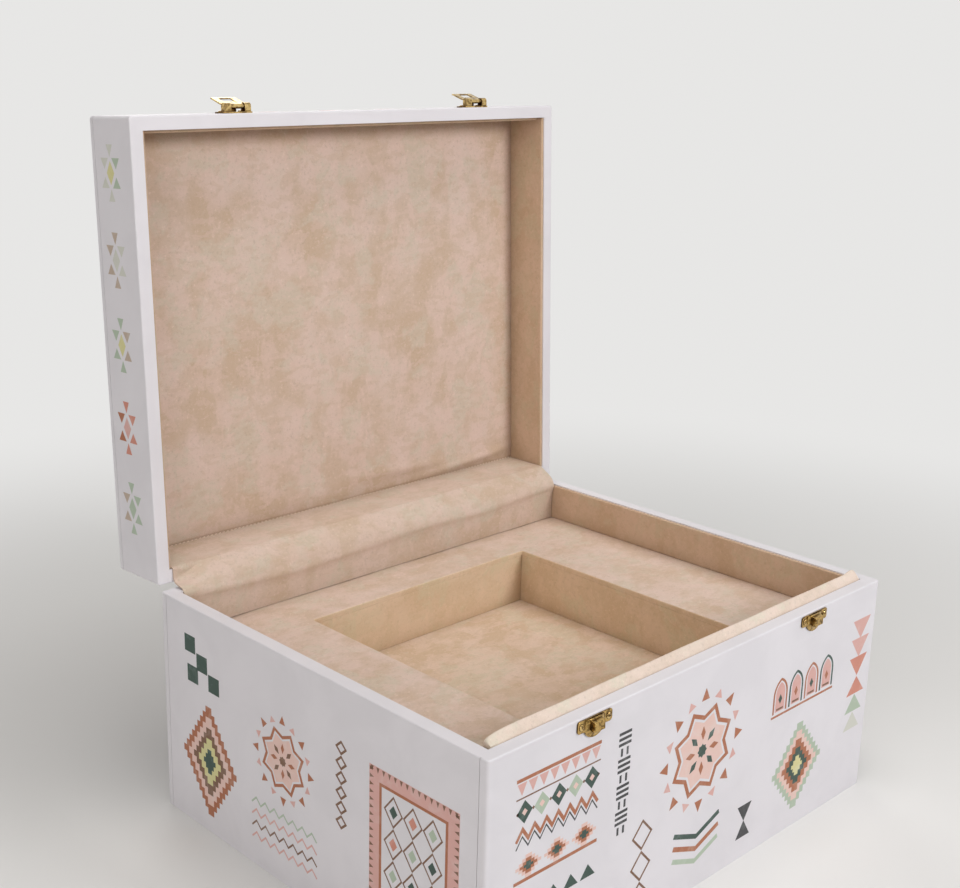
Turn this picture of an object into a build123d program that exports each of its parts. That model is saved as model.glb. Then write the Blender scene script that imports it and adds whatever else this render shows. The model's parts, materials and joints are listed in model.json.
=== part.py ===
"""Table-top dowry chest with a hinged lid, suede tray and two box latches.

Millimetres.  X runs along the front, Y to the back, Z up.  The origin is the middle of the
underside.  The lid is drawn shut and then turned to its open rest position, so every lid size
below is a size of the shut chest.
"""
from build123d import *
import os
from math import cos, radians, sin

# Outer size
chest_width = 400.0
chest_depth = 316.0
base_height = 162.0
lid_height = 50.0
rim_gap = 0.4
lid_open_angle = 92.5
corner_round = 2.5
rim_round = 1.0
lid_edge_round = 1.6

# Boards and the printed wrap glued over them
wall_board = 8.0
floor_board = 6.0
top_board = 6.0
wrap = 0.8
turn_in = 0.7
turn_in_depth = 12.0
corner_return = 6.0
top_lap = 4.5
seam = 0.4

# Suede interior
lining = 2.0
lining_drop = 1.0
fit = 0.3
band = 1.5
lip_thickness = 5.6
lip_stand = 0.4
lip_proud = 4.5
lip_round = 2.4
lid_lining_rebate = 6.0
lid_pad = 7.7

# Tray with its recess
tray_drop = 30.0
tray_board = 4.0
recess_width = 216.0
recess_length = 212.0
recess_depth = 43.0
recess_board = 3.0
tray_edge_round = 1.5
cleat_height = 12.0
cleat_thickness = 10.0

# Butt hinges
hinge_spread = 236.0
hinge_length = 50.0
hinge_sheet = 1.0
hinge_leaf_inset = 1.7
hinge_offset = 2.6
knuckle_radius = 2.3
hinge_pin_radius = 1.0
pin_clearance = 0.05
knuckle_gap = 0.3
hinge_screw_spread = 34.0
hinge_screw_from_face = 4.6
hinge_screw_head = 2.6
hinge_screw_shank = 1.4
hinge_screw_length = 11.0
screw_clearance = 0.05

# Box latches
latch_spread = 228.0
latch_sheet = 1.0
hasp_axis_out = 4.6
hasp_axis_above = 4.2
hasp_thrown_angle = 160.0
hasp_tuck_angle = 5.0
hasp_pin_radius = 0.8
hasp_knuckle_radius = 1.7
hasp_knuckle_width = 10.4
hasp_width = 20.0
hasp_length = 18.0
hasp_sheet = 0.9
hasp_shoulder = 3.4
hasp_corner = 2.5
hasp_curl_radius = 4.0
hasp_curl_angle = 42.0
window_width = 10.0
window_near = 7.6
window_far = 14.4
plate_width = 24.0
plate_low = 0.9
plate_high = 13.4
plate_corner = 2.0
ear_width = 5.0
ear_gap = 0.4
ear_radius = 2.5
stop_width = 6.0
stop_from_axis = 4.2
stop_gap = 0.3
keeper_width = 30.0
keeper_height = 7.6
keeper_drop = 1.6
keeper_corner = 1.8
keeper_dome = 1.5
keeper_dome_width = 17.0
keeper_dome_drop = 5.2
keeper_ledge = 0.5
apron_width = 18.5
apron_depth = 5.5
boss_width = 9.0
boss_proud = 5.2
boss_clearance = 0.35
boss_round = 0.7
latch_screw_head = 2.0
latch_screw_dome = 0.9
latch_screw_bevel = 0.5
latch_screw_shank = 1.1
latch_screw_length = 8.0
plate_screw_spread = 16.4
plate_screw_height = 10.4
keeper_screw_spread = 23.6

# Worked out from the sizes above
half_width = chest_width / 2
half_depth = chest_depth / 2
rim_width = wrap + wall_board + turn_in
board_face = wrap + wall_board
lining_face = rim_width + lining
band_end = half_width - lining_face - fit
tray_top = base_height - tray_drop
lid_rim = base_height + rim_gap
lid_top = lid_rim + lid_height
lid_ceiling = lid_top - wrap - top_board - lid_pad
pad_top = lid_top - wrap - top_board
parting = base_height + rim_gap / 2
hinge_line = Axis((0, half_depth + hinge_offset, parting), (1, 0, 0))
front = -half_depth
OVERSHOOT = 1.0


def block(x0, x1, y0, y1, z0, z1):
    """A plain block between two opposite corners."""
    corner = (Align.MIN, Align.MIN, Align.MIN)
    return Pos(x0, y0, z0) * Box(x1 - x0, y1 - y0, z1 - z0, align=corner)


def slab(inset, z0, z1):
    """The chest's rounded plan outline, brought in by an inset, between two heights."""
    plan = RectangleRounded(chest_width - 2 * inset, chest_depth - 2 * inset, corner_round - inset)
    return Pos(0, 0, z0) * extrude(plan, z1 - z0)


def well(inset, z0, z1):
    """The square-cornered space inside walls of a given thickness."""
    x = half_width - inset
    y = half_depth - inset
    return block(-x, x, -y, y, z0, z1)


def opened(shape):
    """Turn a piece of the shut lid to the open rest position."""
    return shape.rotate(hinge_line, -lid_open_angle)


def mirrored(shape):
    """The same piece on the other side of the chest's middle."""
    return mirror(shape, about=Plane.YZ)


def top_edges(shape):
    """Edges round the outside of a shape's top face."""
    return shape.faces().sort_by(Axis.Z)[-1].outer_wire().edges()


# ---------------------------------------------------------------- wraps

def wrap_ring(height):
    """Wrap of a wall ring: outer skin, cover over the rim at the top, turn-in behind it."""
    ring = slab(0, 0, height)
    ring = fillet(top_edges(ring), rim_round)
    core = slab(wrap, -OVERSHOOT, height - wrap)
    core -= well(board_face, height - turn_in_depth, height)
    return ring - core - well(rim_width, -OVERSHOOT, height + OVERSHOOT)


def mitre(height):
    """Prism over the front wall, cut back at 45 degrees at both corners."""
    reach = 2 * rim_width
    x = half_width
    outline = Polygon(
        (-x - OVERSHOOT, front - OVERSHOOT),
        (x + OVERSHOOT, front - OVERSHOOT),
        (x - reach, front + reach),
        (-x + reach, front + reach),
        align=None,
    )
    return Pos(0, 0, -OVERSHOOT) * extrude(outline, height + 2 * OVERSHOOT)


def returns(height, depth):
    """The strips of skin that the front wrap carries round its two corners."""
    strip = block(-half_width - OVERSHOOT, -half_width + wrap, front - OVERSHOOT, front + depth,
                  -OVERSHOOT, height + OVERSHOOT)
    return strip + mirrored(strip)


def back_to_front(shape):
    """Turn a piece of the front half round to the back."""
    return Rot(0, 0, 180) * shape


def wrap_panels():
    """The four printed wraps of the base; front and back turn round the corners."""
    ring = wrap_ring(base_height)
    ends = mitre(base_height)
    front_zone = ends + returns(base_height, corner_return)
    side_zone = ends + returns(base_height, corner_return + seam)
    front_wrap = ring & front_zone
    sides = ring - side_zone - back_to_front(side_zone)
    left_wrap = sides & block(-half_width - OVERSHOOT, 0, front, half_depth, 0, base_height)
    return front_wrap, back_to_front(front_wrap), left_wrap, mirrored(left_wrap)


def lid_band_wrap():
    """One strip round the lid's four sides, turned in over the rim."""
    height = lid_height - top_lap - seam
    return Pos(0, 0, lid_rim + height) * mirror(wrap_ring(height), about=Plane.XY)


def lid_top_wrap():
    """The wrap of the lid's top, turned down over its edges."""
    shell = slab(0, lid_top - top_lap, lid_top)
    shell = fillet(top_edges(shell), lid_edge_round)
    return shell - slab(wrap, lid_top - top_lap - OVERSHOOT, lid_top - wrap)


# ---------------------------------------------------------------- boards

def wall_boards(z0, z1):
    """Front, back, left and right boards; the side boards stand between the other two."""
    outline = slab(wrap, z0, z1)
    y = half_depth - board_face
    front_board = outline & block(-half_width, half_width, front, -y, z0, z1)
    left_board = block(-half_width + wrap, -half_width + board_face, -y, y, z0, z1)
    return front_board, back_to_front(front_board), left_board, mirrored(left_board)


def cleats():
    """Four strips glued inside the walls, under the edge of the tray board."""
    top = tray_top - tray_board
    x = half_width - board_face
    y = half_depth - board_face
    long_strip = block(-x, x, -y, -y + cleat_thickness, top - cleat_height, top)
    short_strip = block(-x, -x + cleat_thickness, -y + cleat_thickness, y - cleat_thickness,
                        top - cleat_height, top)
    return Compound([long_strip, back_to_front(long_strip), short_strip, mirrored(short_strip)])


# ---------------------------------------------------------------- suede interior

def tray():
    """Suede-covered board with an opening over the recess, its edge rounded."""
    x = half_width - board_face - fit
    y = half_depth - board_face - fit
    plate = block(-x, x, -y, y, tray_top - tray_board, tray_top)
    plate -= recess_space(tray_top + OVERSHOOT)
    return fillet(plate.faces().sort_by(Axis.Z)[-1].inner_wires().edges(), tray_edge_round)


def recess_space(z1):
    """The hollow of the recess, from its floor up."""
    x = recess_width / 2
    y = recess_length / 2
    return block(-x, x, -y, y, tray_top - recess_depth, z1)


def recess_walls():
    """Front, back, left and right walls of the recess, hung under the tray board."""
    x = recess_width / 2
    y = recess_length / 2
    z0 = tray_top - recess_depth
    z1 = tray_top - tray_board
    front_wall = block(-x, x, -y - recess_board, -y, z0, z1)
    left_wall = block(-x - recess_board, -x, -y - recess_board, y + recess_board, z0, z1)
    return front_wall, back_to_front(front_wall), left_wall, mirrored(left_wall)


def recess_floor():
    """Floor board of the recess."""
    x = recess_width / 2 + recess_board
    y = recess_length / 2 + recess_board
    top = tray_top - recess_depth
    return block(-x, x, -y, y, top - recess_board, top)


def side_lining(z0, z1):
    """Left wall lining between two heights."""
    y = half_depth - rim_width - fit
    return block(-half_width + rim_width, -half_width + lining_face, -y, y, z0, z1)


def front_lip():
    """Padded strip that lines the front wall and stands proud of the rim, round-topped."""
    y = front + rim_width + lip_stand
    strip = block(-band_end, band_end, y, y + lip_thickness, tray_top, base_height + lip_proud)
    return fillet(top_edges(strip), lip_round)


def lid_front_lining():
    """Lining of the lid's front wall, set back from the rim to clear the lip."""
    y = front + rim_width
    return block(-band_end, band_end, y, y + lining, lid_rim + lid_lining_rebate, lid_ceiling)


def lid_top_pad():
    """Padded lining under the lid's top board."""
    x = half_width - board_face - fit
    y = half_depth - board_face - fit
    return block(-x, x, -y, y, lid_ceiling, pad_top)


def wall_band(z0, z1):
    """The part of the suede flap that lies on a back wall."""
    y = half_depth - rim_width
    return block(-band_end, band_end, y - band, y, z0, z1)


def flap_span():
    """Free span of the suede flap between the two rims, as it lies with the lid open."""
    inner = half_depth - rim_width
    start = Vector(0, inner, base_height)
    end = opened(Vertex(0, inner, lid_rim)).center()
    along = (end - start).normalized()
    across = Vector(0, -along.Z, along.Y)
    corners = [start + across * fit, end + across * fit]
    corners += [end + across * (fit + band), start + across * (fit + band)]
    outline = Polygon(*[(c.Y, c.Z) for c in corners], align=None)
    return extrude(Plane.YZ * outline, band_end, both=True)


# ---------------------------------------------------------------- screws

def countersunk_screw(extra):
    """Wood screw pointing down, its flat head level with z = 0."""
    depth = hinge_sheet
    head = Cone(hinge_screw_shank + extra, hinge_screw_head + extra, depth)
    shank = Cylinder(hinge_screw_shank + extra, hinge_screw_length)
    return Pos(0, 0, -depth / 2) * head + Pos(0, 0, -hinge_screw_length / 2) * shank


def latch_screw():
    """Round-headed screw in a face: its head stands out along -Y from y = 0."""
    head = Cylinder(latch_screw_head, latch_screw_dome)
    head = chamfer(head.edges().sort_by(Axis.Z)[-1], latch_screw_bevel)
    head = Pos(0, 0, latch_screw_dome / 2) * head
    shank = Pos(0, 0, -latch_screw_length / 2) * Cylinder(latch_screw_shank, latch_screw_length)
    return Rot(90, 0, 0) * (head + shank)


def latch_screw_hole():
    """Clearance hole for a latch screw."""
    length = latch_screw_length + fit
    hole = Cylinder(latch_screw_shank + screw_clearance, length + OVERSHOOT)
    return Rot(90, 0, 0) * Pos(0, 0, (OVERSHOOT - length) / 2) * hole


# ---------------------------------------------------------------- butt hinges

def hinge_places():
    """Middle of each hinge along the back."""
    return [-hinge_spread / 2, hinge_spread / 2]


def knuckle_length():
    """Three knuckles share the hinge's length with a small gap between them."""
    return (hinge_length - 2 * knuckle_gap) / 3


def barrel(radius, length):
    """A round bar along X on the hinge line."""
    place = Pos(0, half_depth + hinge_offset, parting)
    return place * Rot(0, 90, 0) * Cylinder(radius, length)


def hinge_screw_spots(x):
    """Places of one leaf's screws in plan."""
    y = half_depth - hinge_screw_from_face
    half = hinge_screw_spread / 2
    return [(x - half, y), (x + half, y)]


def plain_leaf(z0, z1, knuckle_starts, length):
    """A hinge leaf with its knuckles, before the pin and screw holes."""
    inner = half_depth - rim_width + hinge_leaf_inset
    leaf = block(-hinge_length / 2, hinge_length / 2, inner, half_depth, z0, z1)
    for start in knuckle_starts:
        leaf += block(start, start + length, half_depth - OVERSHOOT, half_depth + hinge_offset, z0, z1)
        leaf += Pos(start + length / 2, 0, 0) * barrel(knuckle_radius, length)
    return leaf - barrel(hinge_pin_radius + pin_clearance, hinge_length + OVERSHOOT)


def base_leaf(x):
    """Leaf let into the base rim, with the two outer knuckles."""
    length = knuckle_length()
    starts = [-hinge_length / 2, hinge_length / 2 - length]
    leaf = Pos(x, 0, 0) * plain_leaf(base_height - hinge_sheet, base_height, starts, length)
    for sx, sy in hinge_screw_spots(x):
        leaf -= Pos(sx, sy, base_height) * countersunk_screw(screw_clearance)
    return leaf


def lid_leaf(x):
    """Leaf let into the lid rim, with the middle knuckle; drawn shut."""
    length = knuckle_length()
    leaf = Pos(x, 0, 0) * plain_leaf(lid_rim, lid_rim + hinge_sheet, [-length / 2], length)
    for sx, sy in hinge_screw_spots(x):
        leaf -= Pos(sx, sy, lid_rim) * Rot(180, 0, 0) * countersunk_screw(screw_clearance)
    return leaf


def base_hinge_screws(extra=0.0):
    """The base leaves' screws, or their holes with some extra radius."""
    spots = [spot for x in hinge_places() for spot in hinge_screw_spots(x)]
    return [Pos(sx, sy, base_height) * countersunk_screw(extra) for sx, sy in spots]


def lid_hinge_screws(extra=0.0):
    """The lid leaves' screws, drawn shut, or their holes."""
    spots = [spot for x in hinge_places() for spot in hinge_screw_spots(x)]
    return [Pos(sx, sy, lid_rim) * Rot(180, 0, 0) * countersunk_screw(extra) for sx, sy in spots]


def leaf_mortises(z0, z1):
    """Shallow notches in the back rim that take the hinge leaves."""
    inner = half_depth - rim_width + hinge_leaf_inset - fit
    half = hinge_length / 2 + fit
    outer = half_depth + OVERSHOOT
    return [block(x - half, x + half, inner, outer, z0, z1) for x in hinge_places()]


# ---------------------------------------------------------------- latches

def hasp_axis(x):
    """Place of a hasp pin's middle, drawn shut."""
    return Pos(x, front - hasp_axis_out, parting + hasp_axis_above)


def side_profile(sketch, width):
    """Extrude a Y-Z profile to a width along X, about the middle."""
    return extrude(Plane.YZ * sketch, width / 2, both=True)


def face_outline(sketch, thickness):
    """A sheet on the front face, from its X-Z outline."""
    return Pos(0, front, 0) * extrude(Plane.XZ * sketch, thickness)


def hasp_leaf():
    """The swinging leaf hanging straight down from its pin at the origin."""
    straight = hasp_length - hasp_curl_radius * sin(radians(hasp_curl_angle))
    run = Line((0, 0), (0, -straight))
    curl = JernArc(start=(0, -straight), tangent=(0, -1), radius=hasp_curl_radius, arc_size=-hasp_curl_angle)
    sheet = side_profile(trace(run + curl, hasp_sheet), hasp_width)
    tip = hasp_length + OVERSHOOT
    outline = Pos(0, -(hasp_shoulder + hasp_length) / 2) * RectangleRounded(
        hasp_width, hasp_length - hasp_shoulder, hasp_corner)
    outline += Pos(0, -tip / 4) * Rectangle(hasp_knuckle_width, tip / 2)
    middle = (window_near + window_far) / 2
    outline -= Pos(0, -middle) * Rectangle(window_width, window_far - window_near)
    leaf = sheet & extrude(Plane.XZ * outline, hasp_length, both=True)
    leaf += Rot(0, 90, 0) * Cylinder(hasp_knuckle_radius, hasp_knuckle_width)
    return leaf - Rot(0, 90, 0) * Cylinder(hasp_pin_radius + pin_clearance, hasp_width)


def thrown_leaf(x):
    """The leaf at rest, thrown back over the lid; drawn with the lid shut."""
    return hasp_axis(x) * Rot(-hasp_thrown_angle, 0, 0) * hasp_leaf()


def ear_profile():
    """Round-nosed ear that stands out from the hasp plate and carries the pin."""
    root = Pos(hasp_axis_out / 2, 0) * Rectangle(hasp_axis_out, 2 * ear_radius)
    return root + Circle(ear_radius)


def stop_tab():
    """Tab turned up out of the plate, on which the thrown-back leaf rests."""
    slope = radians(hasp_thrown_angle - 90)
    along = stop_from_axis / sin(slope)
    underside = hasp_axis_out + along * cos(slope) - hasp_sheet / 2 / sin(slope)
    height = underside - stop_gap
    return Pos(-height / 2, stop_from_axis + latch_sheet / 2) * Rectangle(height, latch_sheet)


def hasp_plate(x):
    """Pressed plate screwed to the lid's front, with two pin ears and a stop tab; drawn shut."""
    z0 = parting + plate_low
    z1 = parting + plate_high
    plate = face_outline(Pos(0, (z0 + z1) / 2) * RectangleRounded(plate_width, z1 - z0, plate_corner),
                         latch_sheet)
    offset = hasp_knuckle_width / 2 + ear_gap + ear_width / 2
    ear = hasp_axis(0) * side_profile(ear_profile(), ear_width)
    plate += Pos(offset, 0, 0) * ear
    plate += Pos(-offset, 0, 0) * ear
    plate += Pos(0, front, parting + hasp_axis_above) * side_profile(stop_tab(), stop_width)
    plate -= hasp_axis(0) * Rot(0, 90, 0) * Cylinder(hasp_pin_radius + pin_clearance, plate_width)
    plate = Pos(x, 0, 0) * plate
    for hole in plate_screw_places(x):
        plate -= hole * latch_screw_hole()
    return plate


def hasp_pin(x):
    """Pin through both ears and the leaf's knuckle; drawn shut."""
    length = hasp_knuckle_width + 2 * ear_gap + 2 * ear_width
    return hasp_axis(x) * Rot(0, 90, 0) * Cylinder(hasp_pin_radius, length)


def plate_screw_places(x):
    """Places of the hasp plate's screws on its face, drawn shut."""
    half = plate_screw_spread / 2
    height = parting + plate_screw_height
    return [Pos(x + side * half, front - latch_sheet, height) for side in (-1, 1)]


def keeper_screw_places(x):
    """Places of the keeper's screws on its face."""
    half = keeper_screw_spread / 2
    height = parting - keeper_drop - keeper_height / 2
    return [Pos(x + side * half, front - latch_sheet, height) for side in (-1, 1)]


def keeper(x):
    """Keeper under the rim: wings, a round apron and the boss that the leaf's window drops over."""
    top = parting - keeper_drop
    wings = Pos(0, top - keeper_height / 2) * RectangleRounded(keeper_width, keeper_height, keeper_corner)
    radius = ((apron_width / 2) ** 2 + apron_depth ** 2) / (2 * apron_depth)
    disc = Pos(0, top - keeper_height - apron_depth + radius) * Circle(radius)
    below = Pos(0, top - keeper_height) * Rectangle(keeper_width, 2 * apron_depth)
    plate = face_outline(wings + (disc & below), latch_sheet)
    plate += keeper_bulge()
    plate += boss()
    plate = Pos(x, 0, 0) * plate
    for hole in keeper_screw_places(x):
        plate -= hole * latch_screw_hole()
    return plate


def keeper_bulge():
    """Shallow round bulge of the keeper, cut flat just under the plate's top edge."""
    rim = keeper_dome_width / 2
    radius = (rim ** 2 + keeper_dome ** 2) / (2 * keeper_dome)
    middle = parting - keeper_dome_drop
    face = front - latch_sheet
    ball = Pos(0, face - keeper_dome + radius, middle) * Sphere(radius)
    top = parting - keeper_drop - keeper_ledge
    return ball & block(-rim, rim, face - 2 * keeper_dome, face + latch_sheet / 2, middle - 2 * rim, top)


def boss():
    """Block inside the leaf's window; its top and bottom are arcs about the hasp pin."""
    near = window_near + boss_clearance
    far = window_far - boss_clearance
    ring = Circle(far) - Circle(near)
    out = boss_proud - hasp_axis_out
    inside = hasp_axis_out - latch_sheet
    zone = Pos((inside - out) / 2, -far / 2) * Rectangle(out + inside, far)
    block_shape = side_profile(ring & zone, boss_width)
    outer_face = block_shape.faces().sort_by(Axis.Y)[0]
    block_shape = fillet(outer_face.outer_wire().edges(), boss_round)
    return hasp_axis(0) * block_shape


# ---------------------------------------------------------------- assembly

def cut(shape, tools):
    """Take a list of tools out of a shape."""
    for tool in tools:
        shape -= tool
    return shape


def base_pieces():
    """Every piece that stays with the base."""
    latches = {"left": -latch_spread / 2, "right": latch_spread / 2}
    screws = [spot for x in latches.values() for spot in keeper_screw_places(x)]
    holes = [spot * latch_screw_hole() for spot in screws]
    mortises = leaf_mortises(base_height - hinge_sheet, base_height + OVERSHOOT)
    front_board, back_board, left_board, right_board = wall_boards(wrap, base_height - wrap)
    front_wrap, back_wrap, left_wrap, right_wrap = wrap_panels()
    recess_front, recess_back, recess_left, recess_right = recess_walls()
    lining_piece = side_lining(tray_top, base_height - lining_drop)
    pieces = {
        "base_front_board": cut(front_board, holes),
        "base_back_board": cut(back_board, mortises + base_hinge_screws(screw_clearance)),
        "base_left_board": left_board,
        "base_right_board": right_board,
        "base_floor_board": well(board_face, wrap, wrap + floor_board),
        "base_underside_sheet": slab(wrap, 0, wrap),
        "base_front_wrap": cut(front_wrap, holes),
        "base_back_wrap": cut(back_wrap, mortises),
        "base_left_wrap": left_wrap,
        "base_right_wrap": right_wrap,
        "base_left_lining": lining_piece,
        "base_right_lining": mirrored(lining_piece),
        "front_lip": front_lip(),
        "tray_board": tray(),
        "tray_cleats": cleats(),
        "recess_front_wall": recess_front,
        "recess_back_wall": recess_back,
        "recess_left_wall": recess_left,
        "recess_right_wall": recess_right,
        "recess_floor": recess_floor(),
        "flap_base_band": wall_band(tray_top, base_height - lining_drop),
        "flap_span": flap_span(),
        "base_hinge_screws": Compound(base_hinge_screws()),
        "keeper_screws": Compound([spot * latch_screw() for spot in screws]),
    }
    for side, x in latches.items():
        pieces[side + "_keeper"] = keeper(x)
    for side, x in zip(("left", "right"), hinge_places()):
        pieces[side + "_hinge_base_leaf"] = base_leaf(x)
        pieces[side + "_hinge_pin"] = Pos(x, 0, 0) * barrel(hinge_pin_radius, hinge_length)
    return pieces


def lid_pieces():
    """Every piece of the lid and its hasps, drawn shut."""
    latches = {"left": -latch_spread / 2, "right": latch_spread / 2}
    screws = [spot for x in latches.values() for spot in plate_screw_places(x)]
    holes = [spot * latch_screw_hole() for spot in screws]
    mortises = leaf_mortises(lid_rim - OVERSHOOT, lid_rim + hinge_sheet)
    boards = wall_boards(lid_rim + wrap, pad_top)
    front_board, back_board, left_board, right_board = boards
    lining_piece = side_lining(lid_rim + lining_drop, lid_ceiling)
    pieces = {
        "lid_top_board": slab(wrap, pad_top, pad_top + top_board),
        "lid_front_board": cut(front_board, holes),
        "lid_back_board": cut(back_board, mortises + lid_hinge_screws(screw_clearance)),
        "lid_left_board": left_board,
        "lid_right_board": right_board,
        "lid_top_wrap": lid_top_wrap(),
        "lid_band_wrap": cut(lid_band_wrap(), mortises + holes),
        "lid_top_pad": lid_top_pad(),
        "lid_front_lining": lid_front_lining(),
        "lid_left_lining": lining_piece,
        "lid_right_lining": mirrored(lining_piece),
        "flap_lid_band": wall_band(lid_rim + lining_drop, lid_ceiling),
        "lid_hinge_screws": Compound(lid_hinge_screws()),
        "hasp_screws": Compound([spot * latch_screw() for spot in screws]),
    }
    for side, x in zip(("left", "right"), hinge_places()):
        pieces[side + "_hinge_lid_leaf"] = lid_leaf(x)
    for side, x in latches.items():
        pieces[side + "_hasp_plate"] = hasp_plate(x)
        pieces[side + "_hasp_pin"] = hasp_pin(x)
        pieces[side + "_hasp_leaf"] = thrown_leaf(x)
    return pieces


def main():
    """Build every piece and write one STEP file for each."""
    pieces = base_pieces()
    for name, shape in lid_pieces().items():
        pieces[name] = opened(shape)
    os.makedirs("parts", exist_ok=True)
    for name, shape in pieces.items():
        export_step(shape, "parts/" + name + ".step")
    print(len(pieces), "pieces")


main()
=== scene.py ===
# %% [markdown]
# # A small dowry chest, opened on a table
# The chest is a white box with printed ornament, a tray and a lid lined in beige suede, and
# two little brass latches. Its rigid parts arrive already made, in metres, and stay where they
# are. What is made here is everything soft, everything printed, and every finish.

import bpy
import json
import numpy as np
from math import cos, pi, radians, sin
from mathutils import Matrix, Vector

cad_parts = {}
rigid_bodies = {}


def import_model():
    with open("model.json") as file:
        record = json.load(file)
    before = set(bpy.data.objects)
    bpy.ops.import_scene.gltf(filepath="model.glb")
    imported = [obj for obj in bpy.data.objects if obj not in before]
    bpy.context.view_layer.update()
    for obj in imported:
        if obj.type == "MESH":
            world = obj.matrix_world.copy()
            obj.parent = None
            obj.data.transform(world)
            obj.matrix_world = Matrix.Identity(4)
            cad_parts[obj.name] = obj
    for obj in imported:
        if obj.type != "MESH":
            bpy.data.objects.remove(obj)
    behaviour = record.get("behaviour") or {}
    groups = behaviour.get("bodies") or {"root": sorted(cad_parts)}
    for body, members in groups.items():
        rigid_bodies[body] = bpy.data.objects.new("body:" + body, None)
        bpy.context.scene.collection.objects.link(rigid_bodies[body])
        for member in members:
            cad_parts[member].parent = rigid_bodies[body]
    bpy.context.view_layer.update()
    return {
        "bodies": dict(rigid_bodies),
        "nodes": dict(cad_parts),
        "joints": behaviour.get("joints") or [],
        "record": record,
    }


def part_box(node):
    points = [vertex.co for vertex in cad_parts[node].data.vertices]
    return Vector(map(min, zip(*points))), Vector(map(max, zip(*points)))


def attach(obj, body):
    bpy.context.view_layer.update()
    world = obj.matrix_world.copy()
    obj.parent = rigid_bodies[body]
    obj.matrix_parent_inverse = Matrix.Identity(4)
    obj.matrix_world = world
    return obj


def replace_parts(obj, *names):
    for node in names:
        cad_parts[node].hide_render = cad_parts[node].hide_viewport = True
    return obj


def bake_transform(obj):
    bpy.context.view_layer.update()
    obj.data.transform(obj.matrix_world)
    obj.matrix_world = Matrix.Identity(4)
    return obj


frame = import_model()
nodes = frame["nodes"]

# %% [markdown]
# ## The camera
# It stands at the left front corner, a little above the rim and turned down by fifteen degrees.
# The lens is a mild telephoto. A small shift moves the frame, which keeps the upright edges of
# the chest as they are instead of turning the camera after them.

# %% Camera
camera = bpy.data.objects.new("camera", bpy.data.cameras.new("camera"))
bpy.context.scene.collection.objects.link(camera)
turned = Matrix.Rotation(radians(-43.33), 4, "Z") @ Matrix.Rotation(radians(74.61), 4, "X")
camera.matrix_world = (
    Matrix.Translation((-0.68117, -0.61896, 0.52660))
    @ turned
    @ Matrix.Rotation(radians(0.94), 4, "Z")
)
camera.data.lens = 52.38
camera.data.sensor_width = 36
image_width = 960
camera.data.shift_x = 50 / image_width
camera.data.shift_y = -14 / image_width
camera.data.clip_start = 0.02
camera.data.clip_end = 40
bpy.context.scene.camera = camera
print("camera axis", [round(x, 4) for x in camera.matrix_world.to_3x3().col[0]])

# %% [markdown]
# ## Shader maths as plain expressions
# A finish is a graph of small nodes. Written by hand, each sum takes three lines, so one class
# wraps a socket and lets plus, minus and times add the Math node. Every other node comes from one
# method, which sets the node's own settings first and its sockets after that.


# %% Signals and finishes
def paint(colour, share=1.0):
    """A screen colour, 0 to 255 each, times a share, as the linear light that shaders work in."""
    screen = np.minimum(np.array(colour) * share, 255) / 255
    light = np.where(screen <= 0.04045, screen / 12.92, ((screen + 0.055) / 1.055) ** 2.4)
    return (*light.tolist(), 1.0)


class Signal:
    """A socket that can be used in sums. Each sum adds a Math node."""

    def __init__(self, finish, socket):
        self.finish, self.socket = finish, socket

    def maths(self, operation, *values):
        return self.finish.node("ShaderNodeMath", {"operation": operation}, dict(enumerate(values)))

    def __add__(self, other):
        return self.maths("ADD", self, other)

    def __sub__(self, other):
        return self.maths("SUBTRACT", self, other)

    def __rsub__(self, other):
        return self.maths("SUBTRACT", other, self)

    def __mul__(self, other):
        return self.maths("MULTIPLY", self, other)

    __radd__, __rmul__ = __add__, __mul__


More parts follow.
